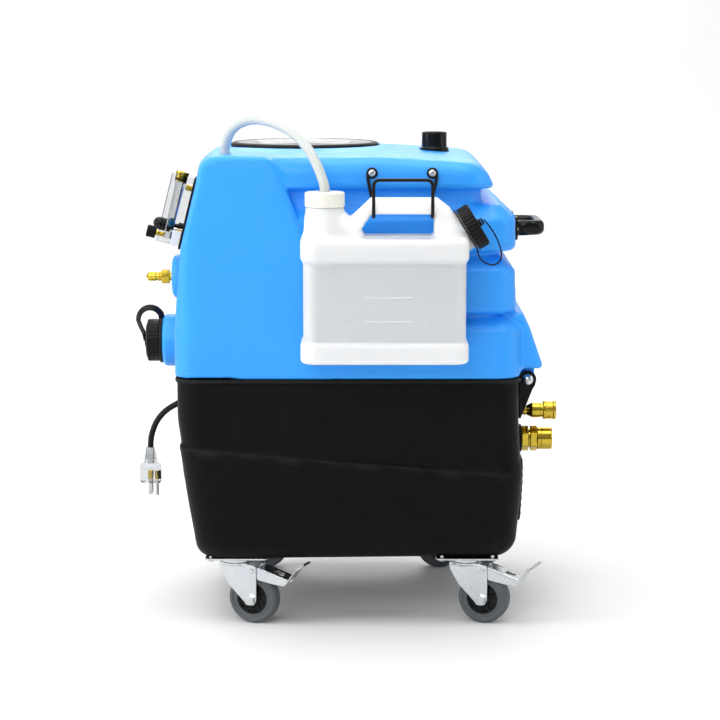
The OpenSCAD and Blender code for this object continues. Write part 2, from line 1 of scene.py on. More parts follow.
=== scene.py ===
import bpy, math
import numpy as np
import openvdb as vdb
from mathutils import Vector, Matrix


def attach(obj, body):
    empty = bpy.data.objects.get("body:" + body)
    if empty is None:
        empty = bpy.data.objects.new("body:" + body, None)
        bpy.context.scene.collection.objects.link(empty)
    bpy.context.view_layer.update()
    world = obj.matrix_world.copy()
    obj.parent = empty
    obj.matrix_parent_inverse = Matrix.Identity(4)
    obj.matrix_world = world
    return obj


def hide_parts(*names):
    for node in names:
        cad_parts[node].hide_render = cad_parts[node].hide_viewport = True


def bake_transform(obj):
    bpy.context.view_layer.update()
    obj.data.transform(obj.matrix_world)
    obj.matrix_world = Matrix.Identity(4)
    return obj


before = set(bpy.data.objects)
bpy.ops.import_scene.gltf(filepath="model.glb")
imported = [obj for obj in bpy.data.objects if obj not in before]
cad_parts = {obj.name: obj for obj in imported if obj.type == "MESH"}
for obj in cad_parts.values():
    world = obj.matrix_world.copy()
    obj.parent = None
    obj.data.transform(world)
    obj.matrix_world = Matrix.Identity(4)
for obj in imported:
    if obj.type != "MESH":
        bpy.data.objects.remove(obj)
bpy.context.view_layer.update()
MY = 55.0                      # the machine's middle plane in the row frame, mm
PI = math.pi
scene = bpy.context.scene


def P(x, y, z):
    """machine millimetres to row-frame metres"""
    return (x / 1000.0, (y + MY) / 1000.0, z / 1000.0)


# ------------------------------------------------------------------ camera first
PITCH = math.radians(8.16)
cam_data = bpy.data.cameras.new("camera")
cam_data.sensor_width = 36.0
cam_data.lens = 115.15
cam_data.clip_end = 50
cam = bpy.data.objects.new("camera", cam_data)
scene.collection.objects.link(cam)
cam.location = P(19.5, -3503, 867)
cam.rotation_euler = (PI / 2 - PITCH, 0, 0)
scene.camera = cam


# ------------------------------------------------------------------ node helpers
class N:
    """a small builder for node materials"""
    def __init__(s, name):
        s.m = bpy.data.materials.new(name)
        s.m.use_nodes = True
        s.t = s.m.node_tree
        s.t.nodes.clear()
        s.out = s.t.nodes.new("ShaderNodeOutputMaterial")
        s.b = s.t.nodes.new("ShaderNodeBsdfPrincipled")
        s.t.links.new(s.b.outputs[0], s.out.inputs[0])
        s.co = s.t.nodes.new("ShaderNodeTexCoord")

    def set(s, **k):
        for a, v in k.items():
            s.b.inputs[a.replace("_", " ")].default_value = v
        return s

    def node(s, kind, **k):
        n = s.t.nodes.new(kind)
        for a, v in k.items():
            setattr(n, a, v)
        return n

    def link(s, a, b):
        s.t.links.new(a, b)

    def noise(s, scale, detail=4, rough=0.55, vec=None, dist=0.0):
        n = s.node("ShaderNodeTexNoise")
        n.inputs["Scale"].default_value = scale
        n.inputs["Detail"].default_value = detail
        n.inputs["Roughness"].default_value = rough
        n.inputs["Distortion"].default_value = dist
        s.link(vec or s.co.outputs["Object"], n.inputs["Vector"])
        return n.outputs["Fac"]

    def voronoi(s, scale, feature="F1", vec=None):
        n = s.node("ShaderNodeTexVoronoi", feature=feature)
        n.inputs["Scale"].default_value = scale
        s.link(vec or s.co.outputs["Object"], n.inputs["Vector"])
        return n.outputs["Distance"]

    def stretch(s, sx, sy, sz):
        n = s.node("ShaderNodeMapping")
        n.inputs["Scale"].default_value = (sx, sy, sz)
        s.link(s.co.outputs["Object"], n.inputs["Vector"])
        return n.outputs["Vector"]

    def ramp(s, fac, stops, interp="LINEAR"):
        n = s.node("ShaderNodeValToRGB")
        r = n.color_ramp
        r.interpolation = interp
        while len(r.elements) < len(stops):
            r.elements.new(0.5)
        for e, (p, c) in zip(r.elements, stops):
            e.position = p
            e.color = c if len(c) == 4 else (*c, 1)
        s.link(fac, n.inputs[0])
        return n.outputs[0]

    def maprange(s, fac, a, b, c, d):
        n = s.node("ShaderNodeMapRange")
        for i, v in zip((1, 2, 3, 4), (a, b, c, d)):
            n.inputs[i].default_value = v
        s.link(fac, n.inputs[0])
        return n.outputs[0]

    def math(s, op, a, b=0.0, clamp=False):
        n = s.node("ShaderNodeMath", operation=op, use_clamp=clamp)
        for i, v in enumerate((a, b)):
            if isinstance(v, (int, float)):
                n.inputs[i].default_value = v
            else:
                s.link(v, n.inputs[i])
        return n.outputs[0]

    def mix(s, fac, a, b, blend="MIX"):
        n = s.node("ShaderNodeMix", data_type="RGBA", blend_type=blend)
        for sock, v in ((n.inputs[0], fac), (n.inputs[6], a), (n.inputs[7], b)):
            if isinstance(v, (int, float)):
                sock.default_value = v
            elif isinstance(v, tuple):
                sock.default_value = v if len(v) == 4 else (*v, 1)
            else:
                s.link(v, sock)
        return n.outputs[2]

    def bump(s, height, dist, strength=1.0, normal=None):
        n = s.node("ShaderNodeBump")
        n.inputs["Distance"].default_value = dist
        n.inputs["Strength"].default_value = strength
        s.link(height, n.inputs["Height"])
        if normal is not None:
            s.link(normal, n.inputs["Normal"])
        return n.outputs[0]

    def to(s, socket, name):
        s.link(socket, s.b.inputs[name])
        return s


def srgb(r, g, b):
    f = lambda c: (c / 255 / 12.92) if c / 255 <= 0.04045 else ((c / 255 + 0.055) / 1.055) ** 2.4
    return (f(r), f(g), f(b))


def edge_mask(m, radius=0.004):
    """lighter along convex edges, from the geometry's pointiness"""
    g = m.node("ShaderNodeNewGeometry")
    return m.maprange(g.outputs["Pointiness"], 0.51, 0.56, 0.0, 1.0)


def mat_plastic(name, col, rough=0.45, grain=900.0, grain_h=0.00012, blotch=0.06, spec=0.5, coat=0.0, sss=0.0, wear=0.0, r_var=0.08):
    m = N(name)
    big = m.noise(6.0, 3, 0.5)
    mid = m.noise(60.0, 4, 0.6)
    fine = m.noise(grain, 3, 0.6)
    lo = tuple(c * (1 - blotch) for c in col)
    hi = tuple(min(1, c * (1 + blotch)) for c in col)
    base = m.mix(m.maprange(big, 0.3, 0.7, 0, 1), lo, hi)
    base = m.mix(m.maprange(mid, 0.35, 0.75, 0, 0.35), base, tuple(min(1, c * 1.05 + 0.002) for c in col))
    if wear > 0:
        e = edge_mask(m)
        w = m.math("MULTIPLY", e, m.maprange(m.noise(90, 5, 0.7), 0.4, 0.62, 0, wear))
        base = m.mix(w, base, tuple(min(1, c * 1.5 + 0.05) for c in col))
    m.to(base, "Base Color")
    m.to(m.maprange(mid, 0.2, 0.8, rough - r_var, rough + r_var), "Roughness")
    m.to(m.bump(fine, grain_h), "Normal")
    m.set(Specular_IOR_Level=spec, Coat_Weight=coat, Coat_Roughness=0.15)
    if sss > 0:
        m.set(Subsurface_Weight=sss, Subsurface_Radius=(0.012, 0.011, 0.009), Subsurface_Scale=1.0)
    return m.m


def mat_metal(name, col, rough=0.3, brushed=None, dirt=0.15, scratch=0.5, stain=None, metallic=1.0, spangle=0.0):
    m = N(name)
    vec = m.stretch(*brushed) if brushed else None
    line = m.noise(220.0, 6, 0.65, vec=vec)
    big = m.noise(35.0, 4, 0.6)
    dark = tuple(c * (1 - dirt) for c in col)
    base = m.mix(m.maprange(big, 0.3, 0.75, 0, 1), dark, col)
    if stain:
        base = m.mix(m.maprange(m.noise(14.0, 3, 0.5, dist=1.0), 0.45, 0.75, 0, 0.5), base, stain)
    if spangle > 0:
        v = m.voronoi(160.0)
        base = m.mix(m.maprange(v, 0.1, 0.8, 0, spangle), base, tuple(min(1, c * 1.15) for c in col))
    m.to(base, "Base Color")
    m.to(m.maprange(line, 0.25, 0.8, max(0.04, rough - 0.1), rough + 0.12), "Roughness")
    m.to(m.bump(line, 0.00003, scratch), "Normal")
    m.set(Metallic=metallic)
    return m.m


def mat_rubber(name, col, rough=0.75, grain=1400.0, h=0.0001, dust_and_sheen=0.0):
    m = N(name)
    big = m.noise(18.0, 4, 0.6)
    fine = m.noise(grain, 3, 0.7)
    base = m.mix(m.maprange(big, 0.35, 0.75, 0, 1), tuple(c * 0.88 for c in col), tuple(min(1, c * 1.18 + dust_and_sheen) for c in col))
    m.to(base, "Base Color")
    m.to(m.maprange(fine, 0.2, 0.8, rough - 0.08, min(1, rough + 0.08)), "Roughness")
    m.to(m.bump(fine, h), "Normal")
    m.set(Specular_IOR_Level=0.25)
    return m.m


def mat_clear(name, col=(0.95, 0.97, 0.97), rough=0.05, ior=1.47, trans=1.0, alpha=1.0, haze=0.04):
    m = N(name)
    n = m.noise(40.0, 4, 0.6)
    m.to(m.mix(m.maprange(n, 0.3, 0.7, 0, 1), tuple(c * 0.97 for c in col), col), "Base Color")
    m.to(m.maprange(n, 0.3, 0.8, rough, rough + haze), "Roughness")
    m.to(m.bump(m.noise(25, 2), 0.00004), "Normal")
    m.set(Transmission_Weight=trans, IOR=ior, Alpha=alpha)
    return m.m


BLUE = srgb(42, 158, 252)


def mat_blue():
    """rotomoulded polyethylene: even colour, a fine orange-peel skin, soft satin gloss and faint scuffs"""
    m = N("blue_rotomould")
    big = m.noise(3.0, 3, 0.5)
    mid = m.noise(30.0, 4, 0.55)
    peel = m.noise(420.0, 3, 0.55)
    fine = m.noise(1900.0, 2, 0.6)
    base = m.mix(m.maprange(big, 0.3, 0.7, 0, 1), tuple(c * 0.93 for c in BLUE), tuple(min(1, c * 1.04) for c in BLUE))
    fleck = m.maprange(m.noise(700.0, 5, 0.8), 0.66, 0.78, 0, 0.12)
    base = m.mix(fleck, base, tuple(min(1, c * 1.2 + 0.02) for c in BLUE))
    scuff = m.math("MULTIPLY", m.maprange(m.noise(26.0, 6, 0.8, vec=m.stretch(0.6, 2.0, 5.0)), 0.64, 0.70, 0, 1), m.maprange(mid, 0.5, 0.7, 0, 0.14), True)
    base = m.mix(scuff, base, srgb(140, 200, 255))
    m.to(base, "Base Color")
    m.to(m.math("ADD", m.maprange(mid, 0.25, 0.75, 0.34, 0.46), m.math("MULTIPLY", scuff, 0.8)), "Roughness")
    h = m.math("ADD", m.math("MULTIPLY", peel, 1.0), m.math("MULTIPLY", fine, 0.35))
    m.to(m.bump(h, 0.00016), "Normal")
    m.set(Specular_IOR_Level=0.45, Subsurface_Weight=0.12, Subsurface_Radius=(0.004, 0.008, 0.012), Subsurface_Scale=1.0)
    return m.m


def mat_black_base():
    """black rotomoulded shell: leather-like moulded grain, slightly shiny on the high spots"""
    m = N("black_rotomould")
    col = (0.0018, 0.0018, 0.0019)
    v = m.voronoi(620.0, "SMOOTH_F1")
    fine = m.noise(1500.0, 3, 0.7)
    mid = m.noise(24.0, 5, 0.6)
    base = m.mix(m.maprange(mid, 0.3, 0.72, 0, 1), tuple(c * 0.8 for c in col), tuple(c * 1.5 for c in col))
    speck = m.maprange(m.noise(900.0, 4, 0.8), 0.68, 0.76, 0, 0.35)
    base = m.mix(speck, base, (0.012, 0.012, 0.013))
    # convex edges lightened towards grey: partly real dust, partly a painted highlight along the edges and the step
    # ledge
    dust_and_sheen = m.math("MULTIPLY", edge_mask(m), 0.35)
    base = m.mix(dust_and_sheen, base, (0.05, 0.05, 0.051))
    m.to(base, "Base Color")
    m.to(m.maprange(mid, 0.25, 0.8, 0.42, 0.58), "Roughness")
    m.to(m.bump(m.math("ADD", v, m.math("MULTIPLY", fine, 0.5)), 0.00022), "Normal")
    m.set(Specular_IOR_Level=0.10)
    return m.m


def mat_natural():
    """blow-moulded natural polyethylene: milky, lets light through, faint flow marks"""
    m = N("natural_blow_mould")
    col = srgb(246, 246, 243)
    big = m.noise(9.0, 4, 0.55)
    flow = m.noise(14.0, 5, 0.6, vec=m.stretch(1.0, 1.0, 3.5), dist=0.6)
    base = m.mix(m.maprange(big, 0.3, 0.72, 0, 1), srgb(236, 237, 236), col)
    base = m.mix(m.maprange(flow, 0.45, 0.8, 0, 0.25), base, srgb(250, 249, 245))
    m.to(base, "Base Color")
    m.to(m.maprange(flow, 0.2, 0.8, 0.28, 0.44), "Roughness")
    m.to(m.bump(m.math("ADD", m.noise(80.0, 3, 0.5), m.math("MULTIPLY", m.noise(1100.0, 3, 0.6), 0.2)), 0.0002), "Normal")
    m.set(Subsurface_Weight=0.85, Subsurface_Radius=(0.03, 0.028, 0.025), Subsurface_Scale=0.8, Specular_IOR_Level=0.5, IOR=1.5)
    return m.m


M = {}
M["blue"] = mat_blue()
M["base"] = mat_black_base()
M["jug"] = mat_natural()
M["black"] = mat_plastic("black_satin_plastic", (0.003, 0.003, 0.0032), 0.38, 1200, 0.00008, 0.2, wear=0.06, spec=0.14)
M["black_gloss"] = mat_plastic("black_gloss_plastic", (0.003, 0.003, 0.0032), 0.24, 700, 0.00004, 0.2, coat=0.04, wear=0.05, spec=0.2)
M["ivory"] = mat_plastic("ivory_cap_plastic", srgb(236, 234, 222), 0.42, 900, 0.00008, 0.03, sss=0.35)
M["rubber"] = mat_rubber("black_rubber", (0.0045, 0.0045, 0.0048), 0.55)
M["zinc"] = mat_metal("bright_zinc_plate", (0.62, 0.64, 0.64), 0.22, (1, 1, 0.3), 0.1, 0.25, stain=(0.52, 0.57, 0.64), spangle=0.1)
M["steel"] = mat_metal("stainless_steel", (0.62, 0.62, 0.61), 0.3, (1, 0.15, 1), 0.12, 0.7)
M["brass"] = mat_metal("machined_brass", (0.70, 0.50, 0.06), 0.17, (0.05, 1, 1), 0.25, 0.5, stain=(0.42, 0.31, 0.04))
M["wire"] = mat_plastic("black_powder_coat", (0.0035, 0.0035, 0.0038), 0.36, 2400, 0.00012, 0.2, wear=0.06, spec=0.18)
M["tyre"] = mat_rubber("grey_wheel_tread", srgb(88, 92, 96), 0.62, 900, 0.00012, 0.01)
M["clear"] = mat_clear("clear_acrylic", (0.93, 0.95, 0.96), 0.03, 1.49, 1.0)
M["meter"] = mat_clear("grey_tinted_acrylic", (0.70, 0.71, 0.715), 0.05, 1.14, 1.0)
M["scale_blue"] = mat_plastic("blue_scale_ink", srgb(60, 130, 225), 0.4, 900, 0.00002, 0.05)
M["cord"] = mat_rubber("black_cord_jacket", (0.0075, 0.0075, 0.008), 0.5, 1600, 0.00006)
M["teal"] = mat_plastic("teal_float", srgb(30, 120, 160), 0.3, 900, 0.00003, 0.1)
M["motor"] = mat_plastic("grey_painted_motor", (0.05, 0.055, 0.06), 0.45, 700, 0.0001, 0.2)
M["boxgrey"] = mat_plastic("grey_box", (0.25, 0.26, 0.27), 0.4, 700, 0.0001, 0.08)
M["red"] = mat_plastic("red_rocker", (0.45, 0.015, 0.012), 0.28, 900, 0.00003, 0.08, coat=0.3)
M["clear_plug"] = mat_clear("clear_plug_plastic", (0.66, 0.68, 0.69), 0.1, 1.25, 0.94, haze=0.06)
M["lid"] = mat_clear("grey_clear_lid", (0.72, 0.75, 0.77), 0.1, 1.49, 0.45, haze=0.05)
lm = N("grey_clear_lid_dark_border")
tc = lm.node("ShaderNodeTexCoord")
sp_ = lm.node("ShaderNodeSeparateXYZ")
lm.link(tc.outputs["Object"], sp_.inputs[0])
dx_ = lm.math("ADD", sp_.outputs[0], 0.064)
dy_ = lm.math("SUBTRACT", sp_.outputs[1], MY / 1000)
rad = lm.math("SQRT", lm.math("ADD", lm.math("MULTIPLY", dx_, dx_), lm.math("MULTIPLY", dy_, dy_)))
edge = lm.maprange(rad, 0.0745, 0.0765, 0, 1)
lm.to(lm.mix(edge, lm.mix(lm.maprange(lm.noise(30, 4), 0.3, 0.7, 0, 1), (0.40, 0.42, 0.425), (0.50, 0.52, 0.525)), (0.004, 0.004, 0.0042)), "Base Color")
lm.to(lm.maprange(rad, 0.0745, 0.0765, 0.35, 0.0), "Transmission Weight")
lm.to(lm.maprange(lm.noise(50, 4), 0.3, 0.8, 0.1, 0.2), "Roughness")
lm.to(lm.bump(lm.noise(25, 2), 0.00004), "Normal")
lm.set(IOR=1.45, Specular_IOR_Level=0.3)
M["lid"] = lm.m
M["hose_plain"] = mat_clear("clear_tube", (0.9, 0.93, 0.92), 0.12, 1.42, 0.7)
M["jug_plain"] = mat_plastic("white_pipe", srgb(225, 228, 228), 0.4, 900, 0.00006, 0.04)
M["moulded_number"] = mat_plastic("moulded_number", srgb(226, 229, 229), 0.35, 900, 0.00003, 0.02)
M["label"] = mat_plastic("blank_white_label", srgb(225, 230, 235), 0.4, 900, 0.00003, 0.03)


# ------------------------------------------------------------------ distance-field modelling (mm)
F32 = np.float32


def smax(a, b, r):
    """rounded intersection"""
    return np.minimum(-r, np.maximum(a, b)) + np.sqrt(np.maximum(a + r, 0) ** 2 + np.maximum(b + r, 0) ** 2)


def smin(a, b, r):
    """filleted union"""
    return np.maximum(r, np.minimum(a, b)) - np.sqrt(np.maximum(r - a, 0) ** 2 + np.maximum(r - b, 0) ** 2)


def sub(a, b, r=0.5):
    return smax(a, -b, r)


def poly(x, z, pts):
    """exact signed distance to a closed polygon"""
    pts = np.array(pts, float)
    d = np.full(np.broadcast(x, z).shape, 1e18)
    s = np.ones(d.shape)
    n = len(pts)
    for i in range(n):
        ax, az = pts[i]
        bx, bz = pts[i - 1]
        ex, ez = bx - ax, bz - az
        wx, wz = x - ax, z - az
        t = np.clip((wx * ex + wz * ez) / (ex * ex + ez * ez + 1e-12), 0, 1)
        d = np.minimum(d, (wx - ex * t) ** 2 + (wz - ez * t) ** 2)
        c1 = z >= az
        c2 = z < bz
        c3 = ex * wz > ez * wx
        flip = (c1 & c2 & c3) | (~c1 & ~c2 & ~c3)
        s = np.where(flip, -s, s)
    return s * np.sqrt(d)


def inset(pts, r):
    """moves every edge of a polygon inward by r"""
    p = np.array(pts, float)
    n = len(p)
    area = sum(p[i][0] * p[(i + 1) % n][1] - p[(i + 1) % n][0] * p[i][1] for i in range(n))
    if area < 0:
        p = p[::-1]
    lines = []
    for i in range(n):
        a, b = p[i], p[(i + 1) % n]
        d = (b - a) / np.linalg.norm(b - a)
        nn = np.array([-d[1], d[0]])
        lines.append((a + nn * r, d))
    out = []
    for i in range(n):
        a, d = lines[i - 1]
        b, e = lines[i]
        den = d[0] * e[1] - d[1] * e[0]
        if abs(den) < 1e-6:
            out.append(b)
        else:
            t = ((b[0] - a[0]) * e[1] - (b[1] - a[1]) * e[0]) / den
            out.append(a + d * t)
    return out


def rpoly(x, z, pts, r):
    return poly(x, z, inset(pts, r)) - r if r > 0 else poly(x, z, pts)


def extr(d2, w, h, r):
    """extrudes a 2-D distance to |w| <= h, with edges rounded by r"""
    a, b = d2 + r, np.abs(w) - h + r
    return np.minimum(np.maximum(a, b), 0) + np.sqrt(np.maximum(a, 0) ** 2 + np.maximum(b, 0) ** 2) - r


def rbox(x, y, z, c, h, r):
    a, b, e = np.abs(x - c[0]) - h[0] + r, np.abs(y - c[1]) - h[1] + r, np.abs(z - c[2]) - h[2] + r
    return np.minimum(np.maximum(np.maximum(a, b), e), 0) + np.sqrt(np.maximum(a, 0) ** 2 + np.maximum(b, 0) ** 2 + np.maximum(e, 0) ** 2) - r


def rrect(x, y, cx, cy, hx, hy, r):
    a, b = np.abs(x - cx) - hx + r, np.abs(y - cy) - hy + r
    return np.minimum(np.maximum(a, b), 0) + np.sqrt(np.maximum(a, 0) ** 2 + np.maximum(b, 0) ** 2) - r


def cyl(rho, ax, r, h, e):
    """a round bar: rho is the distance from its axis, ax the distance along it from its middle"""
    a, b = rho - r + e, np.abs(ax) - h + e
    return np.minimum(np.maximum(a, b), 0) + np.sqrt(np.maximum(a, 0) ** 2 + np.maximum(b, 0) ** 2) - e


def hyp(a, b):
    return np.sqrt(a * a + b * b)


def capsule(x, y, z, a, b, r):
    a, b = np.array(a, float), np.array(b, float)
    d = b - a
    t = np.clip(((x - a[0]) * d[0] + (y - a[1]) * d[1] + (z - a[2]) * d[2]) / (d @ d), 0, 1)
    return np.sqrt((x - a[0] - d[0] * t) ** 2 + (y - a[1] - d[1] * t) ** 2 + (z - a[2] - d[2] * t) ** 2) - r


def capsule2(a, b, p, q, r):
    """a rounded line in a plane"""
    dx, dz = q[0] - p[0], q[1] - p[1]
    t = np.clip(((a - p[0]) * dx + (b - p[1]) * dz) / (dx * dx + dz * dz), 0, 1)
    return np.sqrt((a - p[0] - t * dx) ** 2 + (b - p[1] - t * dz) ** 2) - r


def hexa(a, b, af):
    """2-D distance to a hexagon with that size across its flats"""
    k = 0.8660254
    a, b = np.abs(a), np.abs(b)
    return np.maximum(a * k + b * 0.5, b) - af / 2


def vnormals(V, F):
    """area-weighted vertex normals"""
    n = np.zeros_like(V)
    for f in F:
        if len(f) == 0:
            continue
        if f.shape[1] == 3:
            c = np.cross(V[f[:, 1]] - V[f[:, 0]], V[f[:, 2]] - V[f[:, 0]])
        else:
            c = np.cross(V[f[:, 2]] - V[f[:, 0]], V[f[:, 3]] - V[f[:, 1]])
        for k in range(f.shape[1]):
            np.add.at(n, f[:, k], c)
    return n / np.maximum(np.linalg.norm(n, axis=1)[:, None], 1e-12)


def outward(V, F):
    """flips all faces if the closed mesh is inside out"""
    vol = 0.0
    for f in F:
        if len(f):
            for a, b, c in ([(0, 1, 2)] if f.shape[1] == 3 else [(0, 1, 2), (0, 2, 3)]):
                vol += float((V[f[:, a]] * np.cross(V[f[:, b]], V[f[:, c]])).sum())
    return [f[:, ::-1].copy() for f in F] if vol < 0 else F


def data(V, F, Nn=None):
    V = np.asarray(V, float)
    F = [np.asarray(f, int) for f in F if len(f)]
    if Nn is None:
        F = outward(V, F)
        Nn = vnormals(V, F)
    return V, Nn, F


def moved(d, m):
    V, Nn, F = d
    m = np.array(m, float)
    R = m[:3, :3]
    if np.linalg.det(R) < 0:
        F = [f[:, ::-1].copy() for f in F]
    return V @ R.T + m[:3, 3], Nn @ R.T, F


def emit(name, datas, mat, body, replaces=()):
    """joins datas (machine millimetres) into one object that rides on a body"""
    datas = datas if isinstance(datas, list) else [datas]
    off, Vs, Ns, Fs = 0, [], [], {3: [], 4: []}
    for V, Nn, F in datas:
        Vs.append(V)
        Ns.append(Nn)
        for f in F:
            Fs[f.shape[1]].append(f + off)
        off += len(V)
    V = (np.concatenate(Vs) + np.array([0, MY, 0])) / 1000.0
    Nn = np.concatenate(Ns)
    parts = [np.concatenate(Fs[k]) for k in (3, 4) if Fs[k]]
    loops = np.concatenate([p.ravel() for p in parts]).astype(np.int32)
    totals = np.concatenate([np.full(len(p), p.shape[1], np.int32) for p in parts])
    starts = np.concatenate([[0], np.cumsum(totals)[:-1]]).astype(np.int32)
    me = bpy.data.meshes.new(name)
    me.vertices.add(len(V))
    me.vertices.foreach_set("co", V.astype(np.float32).ravel())
    me.loops.add(len(loops))
    me.loops.foreach_set("vertex_index", loops)
    me.polygons.add(len(totals))
    me.polygons.foreach_set("loop_start", starts)
    me.polygons.foreach_set("loop_total", totals)
    me.polygons.foreach_set("use_smooth", np.ones(len(totals), dtype=bool))
    me.update(calc_edges=True)
    nv = len(me.vertices)
    me.validate()
    if len(me.vertices) == nv:
        me.normals_split_custom_set_from_vertices(Nn.tolist())
    me.materials.append(mat)
    o = bpy.data.objects.new(name, me)
    scene.collection.objects.link(o)
    if body:
        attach(o, body)
    if replaces:
        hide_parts(*([replaces] if isinstance(replaces, str) else replaces))
    return o


def sdf(f, lo, hi, h, place=None, proj=3, adapt=0.12):
    """the zero surface of f over a box: vertices pulled onto it, normals taken from it"""
    lo, hi = np.array(lo, float), np.array(hi, float)
    n = np.ceil((hi - lo) / h).astype(int) + 1
    ax = [lo[i] + h * np.arange(n[i]) for i in range(3)]
    vol = f(ax[0][:, None, None], ax[1][None, :, None], ax[2][None, None, :])
    vol = np.clip(np.ascontiguousarray(np.broadcast_to(vol, tuple(n)).astype(F32)), -3 * h, 3 * h)
    g = vdb.FloatGrid(float(3 * h))
    g.copyFromArray(vol)
    pts, tris, quads = g.convertToPolygons(0.0, adapt)
    pts = np.asarray(pts, float) * h + lo
    F = [np.asarray(q, int) for q in (tris, quads) if len(q)]
    e = 0.1 * h

    def grad(p):
        x, y, z = p.T
        return np.stack([f(x + e, y, z) - f(x - e, y, z), f(x, y + e, z) - f(x, y - e, z), f(x, y, z + e) - f(x, y, z - e)], 1) / (2 * e)
    for _ in range(proj):
        gr = grad(pts)
        step = f(*pts.T)[:, None] * gr / np.maximum((gr * gr).sum(1)[:, None], 0.25)
        ln = np.linalg.norm(step, axis=1, keepdims=True)
        pts = pts - step * np.minimum(1, 0.6 * h / np.maximum(ln, 1e-9))
    gr = grad(pts)
    nrm = gr / np.maximum(np.linalg.norm(gr, axis=1)[:, None], 1e-9)
    F = outward(pts, F)
    d = (pts, nrm, F)
    return moved(d, place) if place is not None else d


def xf(origin=(0, 0, 0), rz=0.0, ry=0.0, rx=0.0):
    """4x4 placing matrix in machine millimetres: rotations in degrees, applied X, then Y, then Z"""
    m = Matrix.Translation(origin) @ Matrix.Rotation(math.radians(rz), 4, "Z") @ Matrix.Rotation(math.radians(ry), 4, "Y") @ Matrix.Rotation(math.radians(rx), 4, "X")
    return np.array(m)


def along(origin, axis):
    """4x4 placing matrix that turns local +Z to the axis"""
    z = np.array(axis, float)
    z /= np.linalg.norm(z)
    a = np.array([0, 1, 0.0]) if abs(z[1]) < 0.9 else np.array([1, 0, 0.0])
    x = np.cross(a, z)
    x /= np.linalg.norm(x)
    m = np.eye(4)
    m[:3, 0], m[:3, 1], m[:3, 2], m[:3, 3] = x, np.cross(z, x), z, origin
    return m


def fillet(pts, closed=False, r0=0.5, n=4):
    """rounds the corners of a 2-D outline; a point may carry its own radius as a third number"""
    out, m = [], len(pts)
    for i, p in enumerate(pts):
        r = p[2] if len(p) > 2 else r0
        if (not closed and i in (0, m - 1)) or r <= 0:
            out.append((p[0], p[1]))
            continue
        a, b, c = (np.array(pts[k][:2], float) for k in (i - 1, i, (i + 1) % m))
        u, v = a - b, c - b
        lu, lv = np.linalg.norm(u), np.linalg.norm(v)
        if lu < 1e-6 or lv < 1e-6:
            continue
        u, v = u / lu, v / lv
        ang = math.acos(max(-1, min(1, float(u @ v))))
        if ang > PI - 0.04 or ang < 0.02:
            out.append((p[0], p[1]))
            continue
        t = r / math.tan(ang / 2)
        t = min(t, 0.49 * min(lu, lv))
        r = t * math.tan(ang / 2)
        w = (u + v) / np.linalg.norm(u + v)
        cc = b + w * r / math.sin(ang / 2)
        p0, p1 = b + u * t - cc, b + v * t - cc
        a0 = math.atan2(p0[1], p0[0])
        da = math.atan2(p1[1], p1[0]) - a0
        da = (da + PI) % (2 * PI) - PI
        k = max(2, int(n * abs(da) / (PI / 2) + 1.5))
        out += [(cc[0] + r * math.cos(a0 + da * q / k), cc[1] + r * math.sin(a0 + da * q / k)) for q in range(k + 1)]
    return out


def lathe(prof, place=None, segs=72, closed=False, r0=0.5, mod=None, n=4):
    """turns an outline of (radius, height) about +Z. mod(theta, r, z) may shape the radius, for ribs and knurls"""
    p = fillet(prof, closed, r0, n)
    th = 2 * PI * np.arange(segs) / segs
    V, rings = [], []
    for r, z in p:
        if abs(r) < 1e-6:
            rings.append([len(V)])
            V.append((0, 0, z))
        else:
            rr = np.full(segs, r) if mod is None else mod(th, np.full(segs, float(r)), z)
            rings.append(list(range(len(V), len(V) + segs)))
            V += list(zip(rr * np.cos(th), rr * np.sin(th), np.full(segs, z)))
    T, Q = [], []
    m = len(rings)
    for i in range(m if closed else m - 1):
        a, b = rings[i], rings[(i + 1) % m]
        for k in range(segs):
            q = (k + 1) % segs
            if len(a) == 1 and len(b) == 1:
                continue
            if len(a) == 1:
                T.append((a[0], b[k], b[q]))
            elif len(b) == 1:
                T.append((a[k], b[0], a[q]))
            else:
                Q.append((a[k], b[k], b[q], a[q]))
    d = data(np.array(V, float), [np.array(T, int).reshape(-1, 3), np.array(Q, int).reshape(-1, 4)])
    return moved(d, place) if place is not None else d


def ribs(count, depth, z0, z1, duty=0.5, soft=0.25, inner=None):
    """a mod for lathe: raised ribs over a span of heights"""
    def f(th, r, z):
        t = (th * count / (2 * PI)) % 1.0
        tri = np.abs(t - 0.5) * 2
        w = np.clip((tri - (1 - duty)) / soft, 0, 1)
        w = w * w * (3 - 2 * w)
        if z < z0 or z > z1 or (inner is not None and r[0] < inner):
            return r
        return r - depth * (1 - w)
    return f


# ------------------------------------------------------------------ swept pieces
def catmull(pts, k):
    p = [np.array(q, float) for q in pts]
    out = []
    for i in range(len(p) - 1):
        a, b, c, d = p[max(i - 1, 0)], p[i], p[i + 1], p[min(i + 2, len(p) - 1)]
        for j in range(k):
            t = j / k
            out.append(0.5 * (2 * b + (c - a) * t + (2 * a - 5 * b + 4 * c - d) * t * t + (3 * b - a - 3 * c + d) * t ** 3))
    out.append(p[-1])
    return np.array(out)


